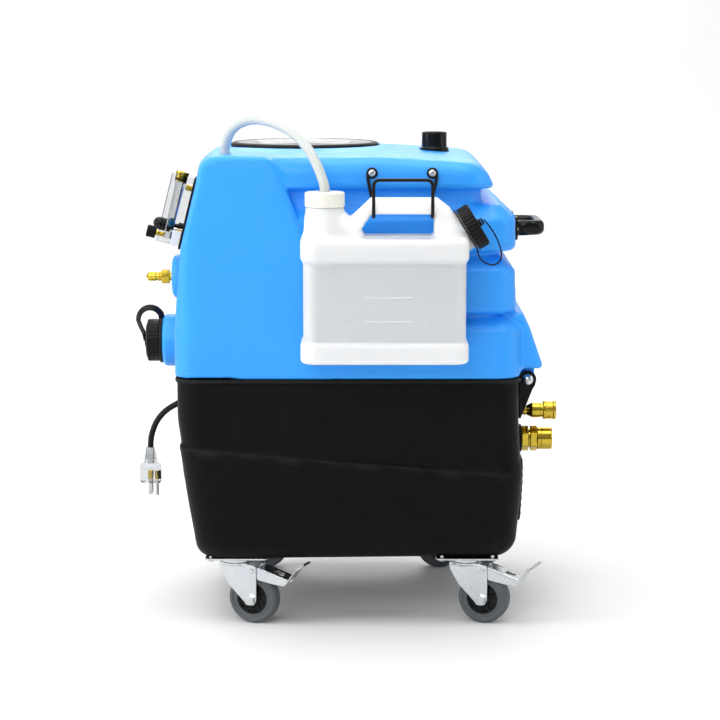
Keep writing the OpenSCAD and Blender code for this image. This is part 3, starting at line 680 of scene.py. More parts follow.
def bent(pts, r, n=6):
    """a 3-D wire path with its corners bent to radius r"""
    p = [np.array(q[:3], float) for q in pts]
    out = [p[0]]
    for i in range(1, len(p) - 1):
        b = p[i]
        u, v = p[i - 1] - b, p[i + 1] - b
        lu, lv = np.linalg.norm(u), np.linalg.norm(v)
        u, v = u / lu, v / lv
        ang = math.acos(max(-1, min(1, float(u @ v))))
        if ang > PI - 0.03:
            out.append(b)
            continue
        t = min(r / math.tan(ang / 2), 0.49 * min(lu, lv))
        rr = t * math.tan(ang / 2)
        w = (u + v) / np.linalg.norm(u + v)
        c = b + w * rr / math.sin(ang / 2)
        e1 = (b + u * t - c) / rr
        e2 = (b + v * t - c) / rr
        tot = math.acos(max(-1, min(1, float(e1 @ e2))))
        e3 = e2 - e1 * (e1 @ e2)
        e3 /= np.linalg.norm(e3)
        out += [c + rr * (math.cos(tot * k / n) * e1 + math.sin(tot * k / n) * e3) for k in range(n + 1)]
    out.append(p[-1])
    return np.array(out)


def sweep(path, section, closed=False, up=(0.2, 1, 0.1), scale=None):
    """sweeps a closed 2-D section (list of (a, b)) along path, without twist; open ends get flat caps"""
    path = np.array(path, float)
    n = len(path)
    sec = np.array(section, float)
    k = len(sec)
    T = np.roll(path, -1, 0) - np.roll(path, 1, 0) if closed else np.gradient(path, axis=0)
    T = T / np.linalg.norm(T, axis=1)[:, None]
    u = np.array(up, float)
    u = u - T[0] * (u @ T[0])
    u /= np.linalg.norm(u)
    V = []
    for i in range(n):
        u = u - T[i] * (u @ T[i])
        u /= np.linalg.norm(u)
        w = np.cross(T[i], u)
        s = 1.0 if scale is None else scale[i]
        V.append(path[i] + s * (sec[:, :1] * u + sec[:, 1:] * w))
    V = np.concatenate(V)
    i = np.arange(n if closed else n - 1)[:, None]
    a = np.arange(k)[None, :]
    b = (a + 1) % k
    j = (i + 1) % n
    Q = np.stack([i * k + a, i * k + b, j * k + b, j * k + a], -1).reshape(-1, 4)
    Tr = np.zeros((0, 3), int)
    if not closed:
        V = np.concatenate([V, path[:1], path[-1:]])
        c0, c1 = len(V) - 2, len(V) - 1
        a = np.arange(k)
        b = (a + 1) % k
        Tr = np.concatenate([np.stack([b, a, np.full(k, c0)], 1), np.stack([(n - 1) * k + a, (n - 1) * k + b, np.full(k, c1)], 1)])
    return data(V, [Tr, Q])


def ring(r, n=16):
    return [(r * math.cos(2 * PI * i / n), r * math.sin(2 * PI * i / n)) for i in range(n)]


def flatsec(w, t, r=None, n=4):
    """a flat strap's section with rounded corners: w along the first axis, t along the second"""
    r = r if r is not None else t * 0.45
    out = []
    for cx, cy, a0 in ((w / 2 - r, t / 2 - r, 0), (-w / 2 + r, t / 2 - r, 90), (-w / 2 + r, -t / 2 + r, 180), (w / 2 - r, -t / 2 + r, 270)):
        for i in range(n + 1):
            a = math.radians(a0 + 90 * i / n)
            out.append((cx + r * math.cos(a), cy + r * math.sin(a)))
    return out


# ------------------------------------------------------------------ cords
HOSE = [[-176, -150, 681], [-176, -150, 700], [-166, -157, 723], [-149, -168, 735], [-127, -182, 739], [-99, -204, 733], [-72, -228, 719], [-52, -248, 698], [-39, -262, 674], [-31, -270, 652], [-30, -271.5, 638]]
CORD = [[-226, 0, 302], [-240, 0, 302], [-256, 0, 299], [-271, 0, 292], [-284, 0, 282], [-294, 0, 269], [-300, 0, 255], [-303, 0, 243], [-304, 0, 229]]


def mat_hose():
    """clear PVC with a braided net of white threads moulded in it"""
    m = N("braided_clear_hose")
    at = m.node("ShaderNodeAttribute", attribute_name="hose_uv")
    sep = m.node("ShaderNodeSeparateXYZ")
    m.link(at.outputs["Vector"], sep.inputs[0])
    u, v = sep.outputs[0], sep.outputs[1]
    s1 = m.math("SINE", m.math("ADD", m.math("MULTIPLY", u, 1.0), m.math("MULTIPLY", v, 1.0)))
    s2 = m.math("SINE", m.math("SUBTRACT", m.math("MULTIPLY", u, 1.0), m.math("MULTIPLY", v, 1.0)))
    net = m.math("MAXIMUM", s1, s2)
    thread = m.maprange(net, 0.86, 0.97, 0, 1)
    base = m.mix(thread, srgb(196, 203, 200), srgb(232, 234, 230))
    m.to(base, "Base Color")
    m.to(m.maprange(net, 0.6, 1.0, 0.16, 0.3), "Roughness")
    m.to(m.bump(m.math("ADD", thread, m.noise(60, 2)), 0.00012), "Normal")
    m.to(m.maprange(net, 0.86, 0.97, 0.16, 0.02), "Transmission Weight")
    m.set(Subsurface_Weight=0.3, Subsurface_Radius=(0.006, 0.006, 0.006), Subsurface_Scale=1.0, IOR=1.45)
    return m.m


M["hose"] = mat_hose()
hp = catmull(HOSE, 12)
hose = emit("chemical_hose_braided", sweep(hp, ring(6.95, 32)), M["hose"], None, "chemical_hose")
run = np.concatenate([[0], np.cumsum(np.linalg.norm(np.diff(hp, axis=0), axis=1))])
att = hose.data.attributes.new("hose_uv", "FLOAT_VECTOR", "POINT")
huv = np.zeros((len(hose.data.vertices), 3), np.float32)
for i in range(len(hp)):
    for j in range(32):
        huv[i * 32 + j] = (2 * PI * j / 32 * 9, run[i] * 1.35, 0)
att.data.foreach_set("vector", huv.ravel())
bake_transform(hose)

cp = catmull(CORD, 12)
cord = emit("power_cord_jacket", sweep(cp, ring(4.5, 24)), M["cord"], "base", "power_cord")


# ================= pieces
def interp(z, zs, vs):
    return np.interp(z, zs, vs)


# ------------------------------------------------------------------ tank
PILLAR = [(-251, 366.3), (-251, 440), (-247.5, 544.5), (-219.8, 656)] \
    + [(-190 + 30 * math.cos(math.radians(a)), 659 + 30 * math.sin(math.radians(a))) for a in range(170, 89, -8)] \
    + [(-150, 689)] + [(-135 + 34 * math.cos(math.radians(a)), 655 + 34 * math.sin(math.radians(a))) for a in (74, 60, 46, 34, 24)] \
    + [(-83, 616), (-66, 573), (-34, 490), (-20, 440), (-20, 366.3)]


def plan(x, y, x1, w, R):
    """plan outline of a rib; its front end is hidden inside the pillar"""
    return rrect(x, y, (x1 - 180) / 2, 0, (x1 + 180) / 2, w, R)


def tank_body(x, y, z):
    xc = interp(z, [430, 461, 500, 545, 566, 600, 618, 645], [226, 225, 221, 219, 216, 201, 197, 194])
    core = smax(plan(x, y, xc, 190, 34), np.abs(z - 520) - 142, 4)
    low = rpoly(plan(x + 0.045 * (z - 490), y, 246, 209, 38), z, [(-70, 461), (0, 461), (0, 523), (-21, 542), (-70, 542)], 9)
    mid = rpoly(plan(x + 0.02 * (z - 575), y, 245, 209, 38), z, [(-70, 550.5), (0, 550.5), (0, 597), (-22, 618), (-70, 618)], 10)
    top = interp(x, [-260, -200, -150, 50, 110, 200, 260], [682, 687, 689.5, 690.5, 687.5, 681, 677]) - 4.5 * np.clip((np.abs(y) - 95) / 110, 0, 1.2) ** 2
    rl = hyp(x + 64, y)
    top = top + 4.6 * np.clip((146 - rl) / 28, 0, 1) ** 2 * (3 - 2 * np.clip((146 - rl) / 28, 0, 1))
    head = smax(plan(x + 0.5 * (z - 643), y, 214, 212, 38), z - top, 20)
    head = smax(head, 641 - z, 9)
    foot = rpoly(plan(x, y, 253.5, 215, 36), z, [(-70, 366.3), (0, 366.3), (0, 437), (-25, 456), (-70, 456)], 7)
    wing = extr(rpoly(x, z, [(180, 377), (284, 377), (286, 383), (267, 438), (257, 459), (180, 459)], 3), y, 181, 9)
    k = np.clip((np.abs(y) - 96) / 96, 0, 1)
    back = 7.4 * k * k * (3 - 2 * k) * interp(z, [436, 452, 490, 530], [0, 0.22, 0.5, 1])
    pil = smax(extr(poly(x - back, z, PILLAR), y, 215, 9), rrect(x, y, -71, 0, 180, 215.2, 37), 3)
    pil = smax(pil, 366.3 - z, 6)
    b = smin(core, low, 8)
    b = smin(b, mid, 9)
    b = smin(b, head, 9)
    b = smin(b, foot, 8)
    b = smin(b, wing, 8)
    b = smin(b, rbox(x, y, z, (215, 0, 578), (27, 60, 25), 7), 6)
    b = smin(b, rbox(x, y, z, (225, 0, 572), (26, 66, 23.5), 5), 5)
    return smin(b, pil, 4)


def tank_f(x, y, z):
    b = tank_body(x, y, z)
    o = smin(b, cyl(hyp(y, z - 396), x + 262, 40, 19.6, 7), 9)
    o = smin(o, cyl(hyp(y, z - 494), x + 248, 34, 18.8, 10), 8)
    seg = np.clip(z, 358, 386)
    lug = extr(hyp(x - 266, z - seg) - 11, np.abs(y) - 134, 6, 1.5)
    o = smin(o, lug, 3)
    o = sub(o, b + 9, 2)
    o = sub(o, np.maximum(hyp(x + 64, y) - 95, 600 - z), 2.5)
    o = sub(o, smax(hyp(x + 64, y) - 113.2, 690.9 - z, 1.0), 1.2)
    o = sub(o, np.maximum(np.maximum(-249 - x, z - 366.3), x + 200), 0.6)
    o = sub(o, np.maximum(hyp(x + 176, y + 150) - 8.6, 681 - z), 1.2)
    o = sub(o, np.maximum(hyp(x - 132, y) - 22.0, 640 - z), 0.6)
    return sub(o, np.maximum(hyp(y, z - 396) - 27.8, x + 190), 1)


emit("tank_moulded_shell", sdf(tank_f, (-290, -222, 342), (293, 222, 696), 3.0, adapt=0.08), M["blue"], "tank", "tank_shell")


# ------------------------------------------------------------------ base
def base_prism(x, y, z, t):
    x0 = interp(z, [100, 122, 158, 194, 230, 266, 290, 300, 312, 370], [-218.8, -222.8, -229.3, -235, -240.4, -245.4, -248.8, -250.2, -251, -251]) + t
    x1 = interp(z, [100, 146, 182, 215, 222, 240, 250, 290, 300, 370], [246.6, 251.2, 255, 257.7, 258, 258, 257.6, 255.6, 255.1, 255]) - t
    return rrect(x, y, (x0 + x1) / 2, 0, (x1 - x0) / 2, 215 - t, 37 - t)


def base_f(x, y, z):
    zs = 268 - 40 * (x + 251) / 509
    top = zs + interp(x, [215, 258], [1, 22])
    hr = interp(x, [215, 258], [5.4, 28])
    k = np.clip((z - top + hr) / hr, 0, 1)
    b = smax(smax(base_prism(x, y, z, 3.6 * k * k * (3 - 2 * k)), 100 - z, interp(x, [-100, 100], [18, 29])), z - 366, 2.2)
    lip = smax(base_prism(x, y, z, 0.9), np.abs(z - 362.6) - 3.2, 1.2)
    b = smin(b, lip, 1.0)
    inner = smax(base_prism(x, y, z, 11), 111 - z, 16)
    b = sub(b, inner, 2)
    b = smin(b, rbox(x, y, z, (-221, 0, 302), (23, 50, 42), 4), 3)
    b = smin(b, rbox(x, y, z, (249, 0, 269), (7.6, 46, 59), 4), 3)
    b = sub(b, rbox(x, y, z, (-239, 0, 302), (32, 43, 34), 9), 3)
    return sub(b, np.maximum(hyp(y, z - 302) - 7.9, x + 190), 0.5)


emit("base_moulded_shell", sdf(base_f, (-258, -222, 94), (264, 222, 372), 2.3, adapt=0.02), M["base"], "base", "base_shell")

# hinge ears with a moulded foot, and the vent grille
ear = [(252.5, 364), (252.5, 300), (257, 300), (277, 351.5), (278.6, 358), (274, 368), (266, 370.8), (256, 366)]


def ears_f(x, y, z):
    d = smin(hyp(x - 266, z - 358) - 12.8, rpoly(x, z, [(252.5, 363.5), (252.5, 300), (256.5, 300), (276, 350), (262, 366)], 1.5), 4)
    d = np.maximum(d, -(hyp(x - 266, z - 358) - 5.0))
    w = np.abs(np.abs(y) - 152)
    f = extr(d, w, 4, 1.3)
    return np.minimum(f, rbox(x, np.abs(y) - 152, z, (254.6, 0, 332), (2.4, 9, 30), 1.8))


emit("hinge_ear_brackets", [sdf(lambda x, y, z, s=s: ears_f(x, y * s, z), (249, min(s * 141, s * 163), 297), (282, max(s * 141, s * 163), 374), 0.9) for s in (-1, 1)], M["black"], "base", "hinge_ears")


def vent_f(x, y, z):
    x = x + 0.055 * np.clip(205 - z, 0, 80)
    g = extr(rrect(y, z, -85, 188, 52, 47, 12), x - 249, 12.6, 1.6)
    g = sub(g, extr(rrect(y, z, -85, 188, 48.5, 43.5, 9), x - 266, 5.6, 1), 1)
    for k in range(7):
        zc = 152.5 + 11.5 * k - 0.5 * (x - 258)
        lou = extr(capsule2(x, z, (259.2, 150.5 + 11.5 * k + 5.5), (262.6, 147.0 + 11.5 * k + 4.2), 0.85), y + 85, 42, 0.6)
        g = sub(g, extr(rrect(y, z - zc, -85, 0, 42, 2.7, 2.5), x - 266, 15, 0.5), 0.8)
        g = np.minimum(g, lou)
    return g


emit("vent_louvre_grille", sdf(vent_f, (234, -139, 139), (266, -31, 237), 1.1), M["black"], "base", "vent_grille")

XA = lambda x, y, z: along((x, y, z), (1, 0, 0))
emit("rear_round_flange", lathe([(14, 256.5), (27, 256.5), (27, 262.6), (24.5, 264), (22, 264.6), (22, 268, 1.2), (14, 268)], XA(0, 0, 243), closed=True, r0=0.9), M["black"], "base", "rear_flange")
emit("coupler_wall_plate", sdf(lambda x, y, z: np.maximum(extr(rrect(y, z, 0, 289, 22, 18, 5), x - 258, 1.5, 0.7), -(hyp(y, z - 287) - 9)), (255.5, -24, 269), (260.5, 24, 309), 0.7), M["steel"], "base", "coupler_plate")

# rear quick coupler: turned body, knurled sliding sleeve
emit("quick_coupler_body", [lathe([(3.5, 248), (9, 248), (9, 259.5), (9.6, 259.5), (9.6, 266), (7.2, 268), (7.2, 271.5, 0.3), (8.0, 272), (8.0, 274, 0.3), (7.2, 274.5, 0.3), (7.2, 276), (8.2, 278), (11.6, 284.5, 1), (11.6, 296), (11, 296.6), (11, 319.2), (10.4, 319.6), (7.25, 319.6), (7.25, 298), (3.5, 294)], XA(0, 0, 287), closed=True, r0=0.4, segs=64),
    sdf(lambda x, y, z: np.maximum(np.maximum(smax(hexa(y, z - 287, 19.8), np.abs(x - 263.6) - 3.2, 0.3), hyp(y, z - 287) + np.abs(x - 263.6) * 0.9 - 13.1), 8.5 - hyp(y, z - 287)), (259, -12, 275), (268, 12, 299), 0.5)], M["brass"], "base", "coupler_body")
emit("quick_coupler_sleeve", lathe([(11.05, 301), (13.6, 301), (14.5, 302), (14.5, 304.5), (13.6, 305.5), (13.6, 316), (14.5, 317), (14.5, 320), (13.6, 321), (11.05, 321)], XA(0, 0, 287), closed=True, r0=0.35, segs=180,
     mod=lambda th, r, z: np.where((r > 13) & (z > 305.2) & (z < 316.3), r - 0.28 * (1 + np.cos(60 * th)) * 0.5, r)), M["brass"], "coupler_sleeve", "coupler_sleeve")


def hexring(x0, x1, af, zc, bore):
    m, hw = (x0 + x1) / 2, (x1 - x0) / 2
    f = lambda x, y, z: np.maximum(smax(smax(hexa(z - zc, y, af), np.abs(x - m) - hw, 0.5), hyp(y, z - zc) + 1.7 * (np.abs(x - m) - hw) - af / 2 * 1.075, 0.4), bore - hyp(y, z - zc))
    r = af / 2 * 1.16 + 1
    return sdf(f, (x0 - 1, -r, zc - r), (x1 + 1, r, zc + r), 0.7)


emit("hose_inlet_fitting", [lathe([(8.5, 246), (14, 246), (14, 268.3), (13.2, 268.6), (8.5, 268.6)], XA(0, 0, 243), closed=True), hexring(268.5, 279, 34, 243, 8.5), lathe([(8.5, 278.8), (14.5, 278.8), (14.5, 281.7), (8.5, 281.7)], XA(0, 0, 243), closed=True),
     hexring(281.5, 292, 34, 243, 8.5), lathe([(8.5, 291.8), (14, 291.8), (14, 295), (8.5, 295)], XA(0, 0, 243), closed=True)], M["brass"], "base", "hose_fitting")
emit("hose_inlet_nut", lathe([(14.05, 292.3), (16.6, 292.3), (17.2, 293.1), (17.2, 297, 0.2), (16.8, 297.4, 0.2), (16.8, 298.6, 0.2), (17.2, 299, 0.2), (17.2, 313.6), (16.4, 315), (12.5, 315), (12.5, 296), (14.05, 296)], XA(0, 0, 243), closed=True, r0=0.35, segs=96), M["brass"], "hose_nut", "hose_nut")

# gland with its tapered strain relief, and the plug
emit("cord_gland_nut", [hexring(-213, -207, 24, 302, 4.7), hexring(-198, -192, 24, 302, 4.7),
     lathe([(4.62, -226), (5.6, -226), (6.0, -224, 0.6), (8.6, -221, 1), (9.5, -213), (9.5, -212), (8, -211.8), (8, -190), (4.62, -190)], XA(0, 0, 302), closed=True, segs=72,
           mod=lambda th, r, z: np.where((z > -222) & (z < -213.5) & (r > 7), r - 0.5 * (np.cos(12 * th) > 0.5), r))], M["black"], "base", "cord_gland")

relief_path = cp[:30]
plugc = xf((-304, 0, 0))


def plug_f(x, y, z):
    b = extr(rrect(x, y, 0, 0, 16.5, 14, 7.5), z - 188.5, 14.5, 3)
    b = sub(b, rbox(x, np.abs(y), z, (0, 16, 190), (12, 3.2, 6), 1.5), 1.2)
    shoulder = smax(hyp(x, y) - interp(z, [200, 212, 229], [12.5, 9.2, 6.6]), np.abs(z - 214.5) - 14.5, 1.0)
    b = smin(b, shoulder, 3)
    for zz in (209, 213.5, 218, 222.5):
        b = sub(b, np.maximum(np.abs(hyp(x, y) - 11) - 3.2, np.abs(z - zz) - 0.7), 0.5)
    return np.maximum(b, np.minimum(4.62 - hyp(x, y), z - 203))


def blades_f(x, y, z):
    f = rbox(x, np.abs(y) - 6.3, z, (0, 0, 168), (3.1, 0.8, 12), 0.35)
    f = np.maximum(f, -(hyp(x, z - 160.5) - 1.2))
    pin = cyl(hyp(x - 9.5, y), z - 165, 2.4, 12, 1.6)
    return np.minimum(f, pin)


plug = emit("mains_plug_clear_body", sdf(plug_f, (-18, -15.5, 172), (18, 15.5, 231), 0.7, place=plugc), M["clear_plug"], "base", "plug")
blades = emit("mains_plug_blades", [sdf(blades_f, (-4, -8.5, 152), (13.5, 8.5, 181), 0.45, place=plugc)], M["steel"], "base", ())
core_in = emit("mains_plug_contacts", [sdf(lambda x, y, z: np.minimum(rbox(x, np.abs(y) - 6.3, z, (0, 0, 187), (4, 1.6, 7), 0.6), cyl(hyp(x - 9.5, y), z - 186, 3.1, 7, 0.8)), (-6, -10, 177), (14, 10, 196), 0.6, place=plugc)], M["brass"], "base", ())
relief = emit("cord_strain_relief", sweep(cp[:34], ring(1.0, 32), scale=[4.55 + 2.6 * (1 - i / 33) - (0.45 if i % 4 == 3 and i > 3 else 0) for i in range(34)]), M["rubber"], "base", ())


# ------------------------------------------------------------------ fasteners
def socket_head(r, h, hexaf):
    """a button head with a hex socket, seat at z = 0"""
    R = (r * r + h * h) / (2 * h)
    f = lambda x, y, z: np.maximum(smax(np.sqrt(x * x + y * y + (z - h + R) ** 2) - R, -z, 0.25), -np.maximum(hexa(x, y, hexaf), h * 0.35 - z))
    return sdf(f, (-r - .6, -r - .6, -0.6), (r + .6, r + .6, h + .6), r / 16)


def hex_head(af, h):
    f = lambda x, y, z: smax(smax(hexa(x, y, af), np.abs(z - h / 2) - h / 2, 0.3), hyp(x, y) + 1.6 * (z - h) - af / 2 * 1.06, 0.3)
    r = af / 2 * 1.16 + .6
    return sdf(f, (-r, -r, -0.6), (r, r, h + .6), af / 34)


big = socket_head(8.5, 4.8, 5)
nut = hex_head(14.9, 4.5)
pan = socket_head(6.4, 3.4, 3.6)
ds = []
for s in (-1, 1):
    ds.append(moved(big, along((266, s * 156.5, 358), (0, s, 0))))
    ds.append(moved(nut, along((266, s * 128, 358), (0, -s, 0))))
    ds.append(lathe([(0, 0), (5, 0), (5, 30.5), (0, 30.5)], along((266, s * 126, 358), (0, s, 0)), segs=40))
CP = [(-162, -173), (177, -173), (-162, 173), (177, 173)]
for cx_, cy_ in CP:
    for dx in (-37, 37):
        for dy in (-23, 23):
            ds.append(moved(pan, along((cx_ + dx, cy_ + dy, 97), (0, 0, -1))))
            ds.append(lathe([(0, 96.5), (3, 96.5), (3, 109.8), (0, 109.8)], xf((cx_ + dx, cy_ + dy, 0)), segs=24))
emit("base_bolts_and_screws", ds, M["zinc"], "base", "base_fasteners")
rack_b = socket_head(5.6, 3.2, 3.4)
hs = socket_head(3.4, 1.9, 2.2)
ps = socket_head(3.6, 2.1, 2.2)
PAN = xf((-247.5, 0, 544.5), ry=14)
ds = []
for x in (36.6, 122.7):
    ds.append(moved(rack_b, along((x, -217.6, 664.8), (0, -1, 0))))
    ds.append(lathe([(0, 0), (3, 0), (3, 32), (0, 32)], along((x, -217.8, 664.8), (0, 1, 0)), segs=24))
for y in (-61, 61):
    ds.append(moved(hs, along((255.5, y, 572), (1, 0, 0))))
    ds.append(lathe([(0, 0), (2.1, 0), (2.1, 19), (0, 19)], along((237, y, 572), (1, 0, 0)), segs=24))
for y in (-104, 104):
    for z in (8, 102):
        ds.append(moved(moved(ps, along((-3, y, z), (-1, 0, 0))), PAN))
emit("tank_bolts_and_screws", ds, M["zinc"], "tank", "tank_fasteners")

# ------------------------------------------------------------------ tank-top pieces
emit("vacuum_port_stub", lathe([(15.9, 676), (22.0, 676), (22.0, 690.2), (21.2, 690.9), (19.7, 691.2, 1.2), (19.05, 693), (18.95, 712.4), (18.2, 714), (16.6, 714), (15.9, 713.2)], xf((132, 0, 0)), closed=True, r0=0.5, segs=96), M["black_gloss"], "tank", "vacuum_port")


def handle_f(x, y, z):
    outer = smin(rrect(x, y, 275, 0, 22, 57, 17), rrect(x, y, 264, 0, 10, 57, 3), 3)
    inner = rrect(x, y, 259.5, 0, 23.5, 43, 14)
    zz = z - 572.5 - 0.02 * (x - 260)
    g = extr(np.maximum(outer, -inner), zz, interp(x, [255, 262, 297], [12.5, 11.6, 11.2]), 8.5)
    pl = extr(rrect(np.abs(y), z, 52, 572.5, 13, 17.5, 6), x - 253.4, 2.4, 1.2)
    g = smin(g, pl, 2.5)
    return g


emit("rear_grab_handle", sdf(handle_f, (250, -67, 553), (299, 67, 592), 1.1), M["black_gloss"], "tank", "rear_handle")

# jug rack: one bent wire with closed eyes
ds = []
for x in (36.6, 122.7):
    ds.append(sweep([(x + 5.9 * math.cos(a), -215 - 1.2, 664.8 + 5.9 * math.sin(a)) for a in np.linspace(0, 2 * PI, 41)[:-1]], ring(2.3, 14), closed=True, up=(0, 1, 0)))
wl, wr = 38.5, 120.8
wp = [(36.6 - 5.9, -216.4, 664.8), (36.6 - 5.6, -216.5, 655), (wl - 1.2, -217, 625), (wl, -217.5, 608), (wl, -298, 608), (wl, -298, 660), (wr, -298, 660), (wr, -298, 608), (wr, -217.5, 608), (wr + 1.2, -217, 625), (122.7 + 5.6, -216.5, 655), (122.7 + 5.9, -216.4, 664.8)]
ds.append(sweep(bent(wp, 8, 8), ring(2.45, 14)))
emit("jug_wire_rack", ds, M["wire"], "tank", "jug_rack")

# ------------------------------------------------------------------ control plate and flow meter
ploc = lambda f, lo, hi, h, **k: sdf(f, lo, hi, h, place=PAN, **k)


def panel_f(x, y, z):
    g = extr(rrect(y, z, 0, 55, 112, 55, 8), x + 1.5, 1.5, 0.7)
    g = np.maximum(g, 5.6 - hyp(y + 20, z - 23))
    g = np.maximum(g, -rrect(y, z, 38, 45, 7.6, 15, 1))
    return np.maximum(g, -rrect(y, z, 76, 45, 7.6, 15, 1))


emit("control_plate", ploc(panel_f, (-4.2, -113.2, -1.2), (1.2, 113.2, 111.2), 0.9, adapt=0.15), M["black"], "tank", "control_panel")


def meter_f(x, y, z):
    y = y + 70
    b = rbox(x, y, z, (-21.15, 0, 54.5), (17.85, 15, 52.5), 1.0)
    b = np.maximum(b, -np.maximum(hyp(x + 24, y) - interp(z, [9, 96], [6.2, 7.2]), np.abs(z - 52.5) - 43.5))
    b = np.maximum(b, -np.maximum(hyp(x + 24, y) - 9, 95 - z))
    b = np.maximum(b, -np.maximum(hyp(y, z - 13) - 4.0, x + 23))
    b = np.maximum(b, -np.maximum(hyp(y, z - 22) - 5, -24 - x))
    return np.maximum(b, -np.maximum(hyp(y, z - 90) - 5, -24 - x))


emit("flow_meter_block", ploc(meter_f, (-40.2, -86.2, 0.8), (-2.2, -53.8, 108.2), 0.8, adapt=0.1), M["meter"], "tank", "flow_meter")
lz = lambda prof, o, **k: moved(lathe(prof, xf(o), **k), PAN)
lx = lambda prof, o, **k: moved(lathe(prof, along(o, (-1, 0, 0)), **k), PAN)
emit("flow_meter_fittings", [lz([(3, 96), (8.9, 96), (8.9, 98, 0.3), (8.2, 98.4, 0.3), (8.2, 100.6, 0.3), (8.9, 101, 0.3), (8.9, 107.1), (9.4, 107.1), (10, 107.8), (10, 110.2), (9.2, 111), (5.2, 111), (4.6, 109.4), (0, 109.2), (0, 99), (3, 99)], (-24, -70, 0), segs=48),
     lx([(2.5, -0.2), (4.9, -0.2), (4.9, 5, 0.3), (4.3, 5.4), (4.3, 7), (4.9, 7.4), (4.9, 13.8), (2.5, 13.8)], (0, -70, 22), closed=True, segs=40), lx([(2.5, -0.2), (4.9, -0.2), (4.9, 5, 0.3), (4.3, 5.4), (4.3, 7), (4.9, 7.4), (4.9, 13.8), (2.5, 13.8)], (0, -70, 90), closed=True, segs=40),
     lx([(2.05, 30), (3.9, 30), (3.9, 39.1), (4.7, 39.3), (4.7, 41.4), (4.2, 41.9), (2.05, 41.9)], (0, -70, 13), closed=True, segs=40)], M["brass"], "tank", "meter_fittings")
emit("flow_meter_seals", [moved(sweep([(-24 + 8.5 * math.cos(a), -70 + 8.5 * math.sin(a), 99.5) for a in np.linspace(0, 2 * PI, 49)[:-1]], ring(0.9, 10), closed=True, up=(0, 0, 1)), PAN)], M["rubber"], "tank", ())
emit("flow_meter_float", lz([(0, 27), (4.2, 27), (5.4, 28.6), (5.5, 34.8), (3.2, 36.4), (3.0, 39.2), (2.2, 40), (0, 40)], (-24, -70, 0), segs=40), M["teal"], "meter_float", "meter_float")
emit("flow_adjust_knob", [lx([(0, 42.4), (7.8, 42.4), (8.9, 43.2), (9.1, 54.6), (8.2, 56), (4.5, 56), (4.0, 55.3), (0, 55.2)], (0, -70, 13), segs=240, mod=lambda th, r, z: np.where(r > 7.5, r - 0.8 * (1 - np.clip((np.abs(((th * 20 / (2 * PI)) % 1) - 0.5) * 2 - 0.3) / 0.3, 0, 1)), r)),
     lx([(0, 36.4), (1.95, 36.4), (1.95, 43), (0, 43)], (0, -70, 13), segs=24)], M["black"], "flow_knob", "flow_knob")
emit("regulator_round_knob", lx([(0, 0.6), (5.4, 0.6), (5.4, 3.4), (8.6, 3.7), (8.6, 14), (7.6, 15), (5.6, 15.4), (5.6, 21.5), (8.8, 22), (9.7, 23.2), (9.8, 43.2, 4)] + [(9.8 * math.cos(a), 43.2 + 9.8 * math.sin(a), 0) for a in np.linspace(0.12, PI / 2 - 0.02, 9)] + [(0, 53)], (0, -20, 23), segs=120, mod=lambda th, r, z: np.where((r > 9) & (z > 24) & (z < 42), r - 0.3 * (np.cos(24 * th) > 0.3), r)), M["black_gloss"], "regulator_knob", "regulator_knob")
emit("breaker_button_boot", lx([(0, 0.2), (8.4, 0.2), (8.6, 0.8), (8.6, 3.4), (7.8, 5.6, 1.2), (6.2, 7.6, 1.6), (3, 8.6, 1.6), (0, 8.8)], (0, 3, 43), segs=64, mod=lambda th, r, z: np.where((r > 7.2) & (z > 0.9) & (z < 3.2), r - 0.25, r)), M["blue"], "tank", ())
emit("flow_meter_scale_line", ploc(lambda x, y, z: rbox(x, y, z, (-17.4, -84.95, 62), (0.55, 0.3, 30), 0.2), (-18.6, -85.8, 31), (-16.2, -84.2, 93), 0.3), M["scale_blue"], "tank", ())


def rocker_f(x, y, z, yc):
    d = rpoly(x, z, [(-3.2, 31), (-6.5, 31.5), (-5.0, 45), (-6.5, 58.5), (-3.2, 59), (-0.9, 47), (-0.9, 43)], 0.6)
    g = extr(d, y - yc, 7, 0.8)
    return g


emit("vacuum_rocker_switch", ploc(lambda x, y, z: rocker_f(x, y, z, 38), (-7.6, 29.8, 29.8), (0.2, 46.2, 60.2), 0.5), M["red"], "vacuum_switch", "vacuum_switch")
emit("pump_rocker_switch", ploc(lambda x, y, z: rocker_f(x, y, z, 76), (-7.6, 67.8, 29.8), (0.2, 84.2, 60.2), 0.5), M["black_gloss"], "pump_switch", "pump_switch")


def bezel_f(x, y, z):
    g = 99.0
    for yc in (38, 76):
        b = extr(np.maximum(rrect(y, z, yc, 45, 10, 17.6, 2.2), -rrect(y, z, yc, 45, 7.8, 15.2, 1.2)), x + 3.7, 0.9, 0.5)
        g = np.minimum(g, b)
    return g


emit("switch_bezels", ploc(bezel_f, (-5.2, 26, 26), (-2.2, 88, 64), 0.6), M["black_gloss"], "tank", ())
emit("meter_blank_tag", ploc(lambda x, y, z: extr(rrect(x, z, -11, 14, 6.5, 11, 0.8), y + 85.25, 0.25, 0.2), (-18.5, -86, 2), (-3.5, -84.6, 26), 0.4), M["label"], "tank", ())

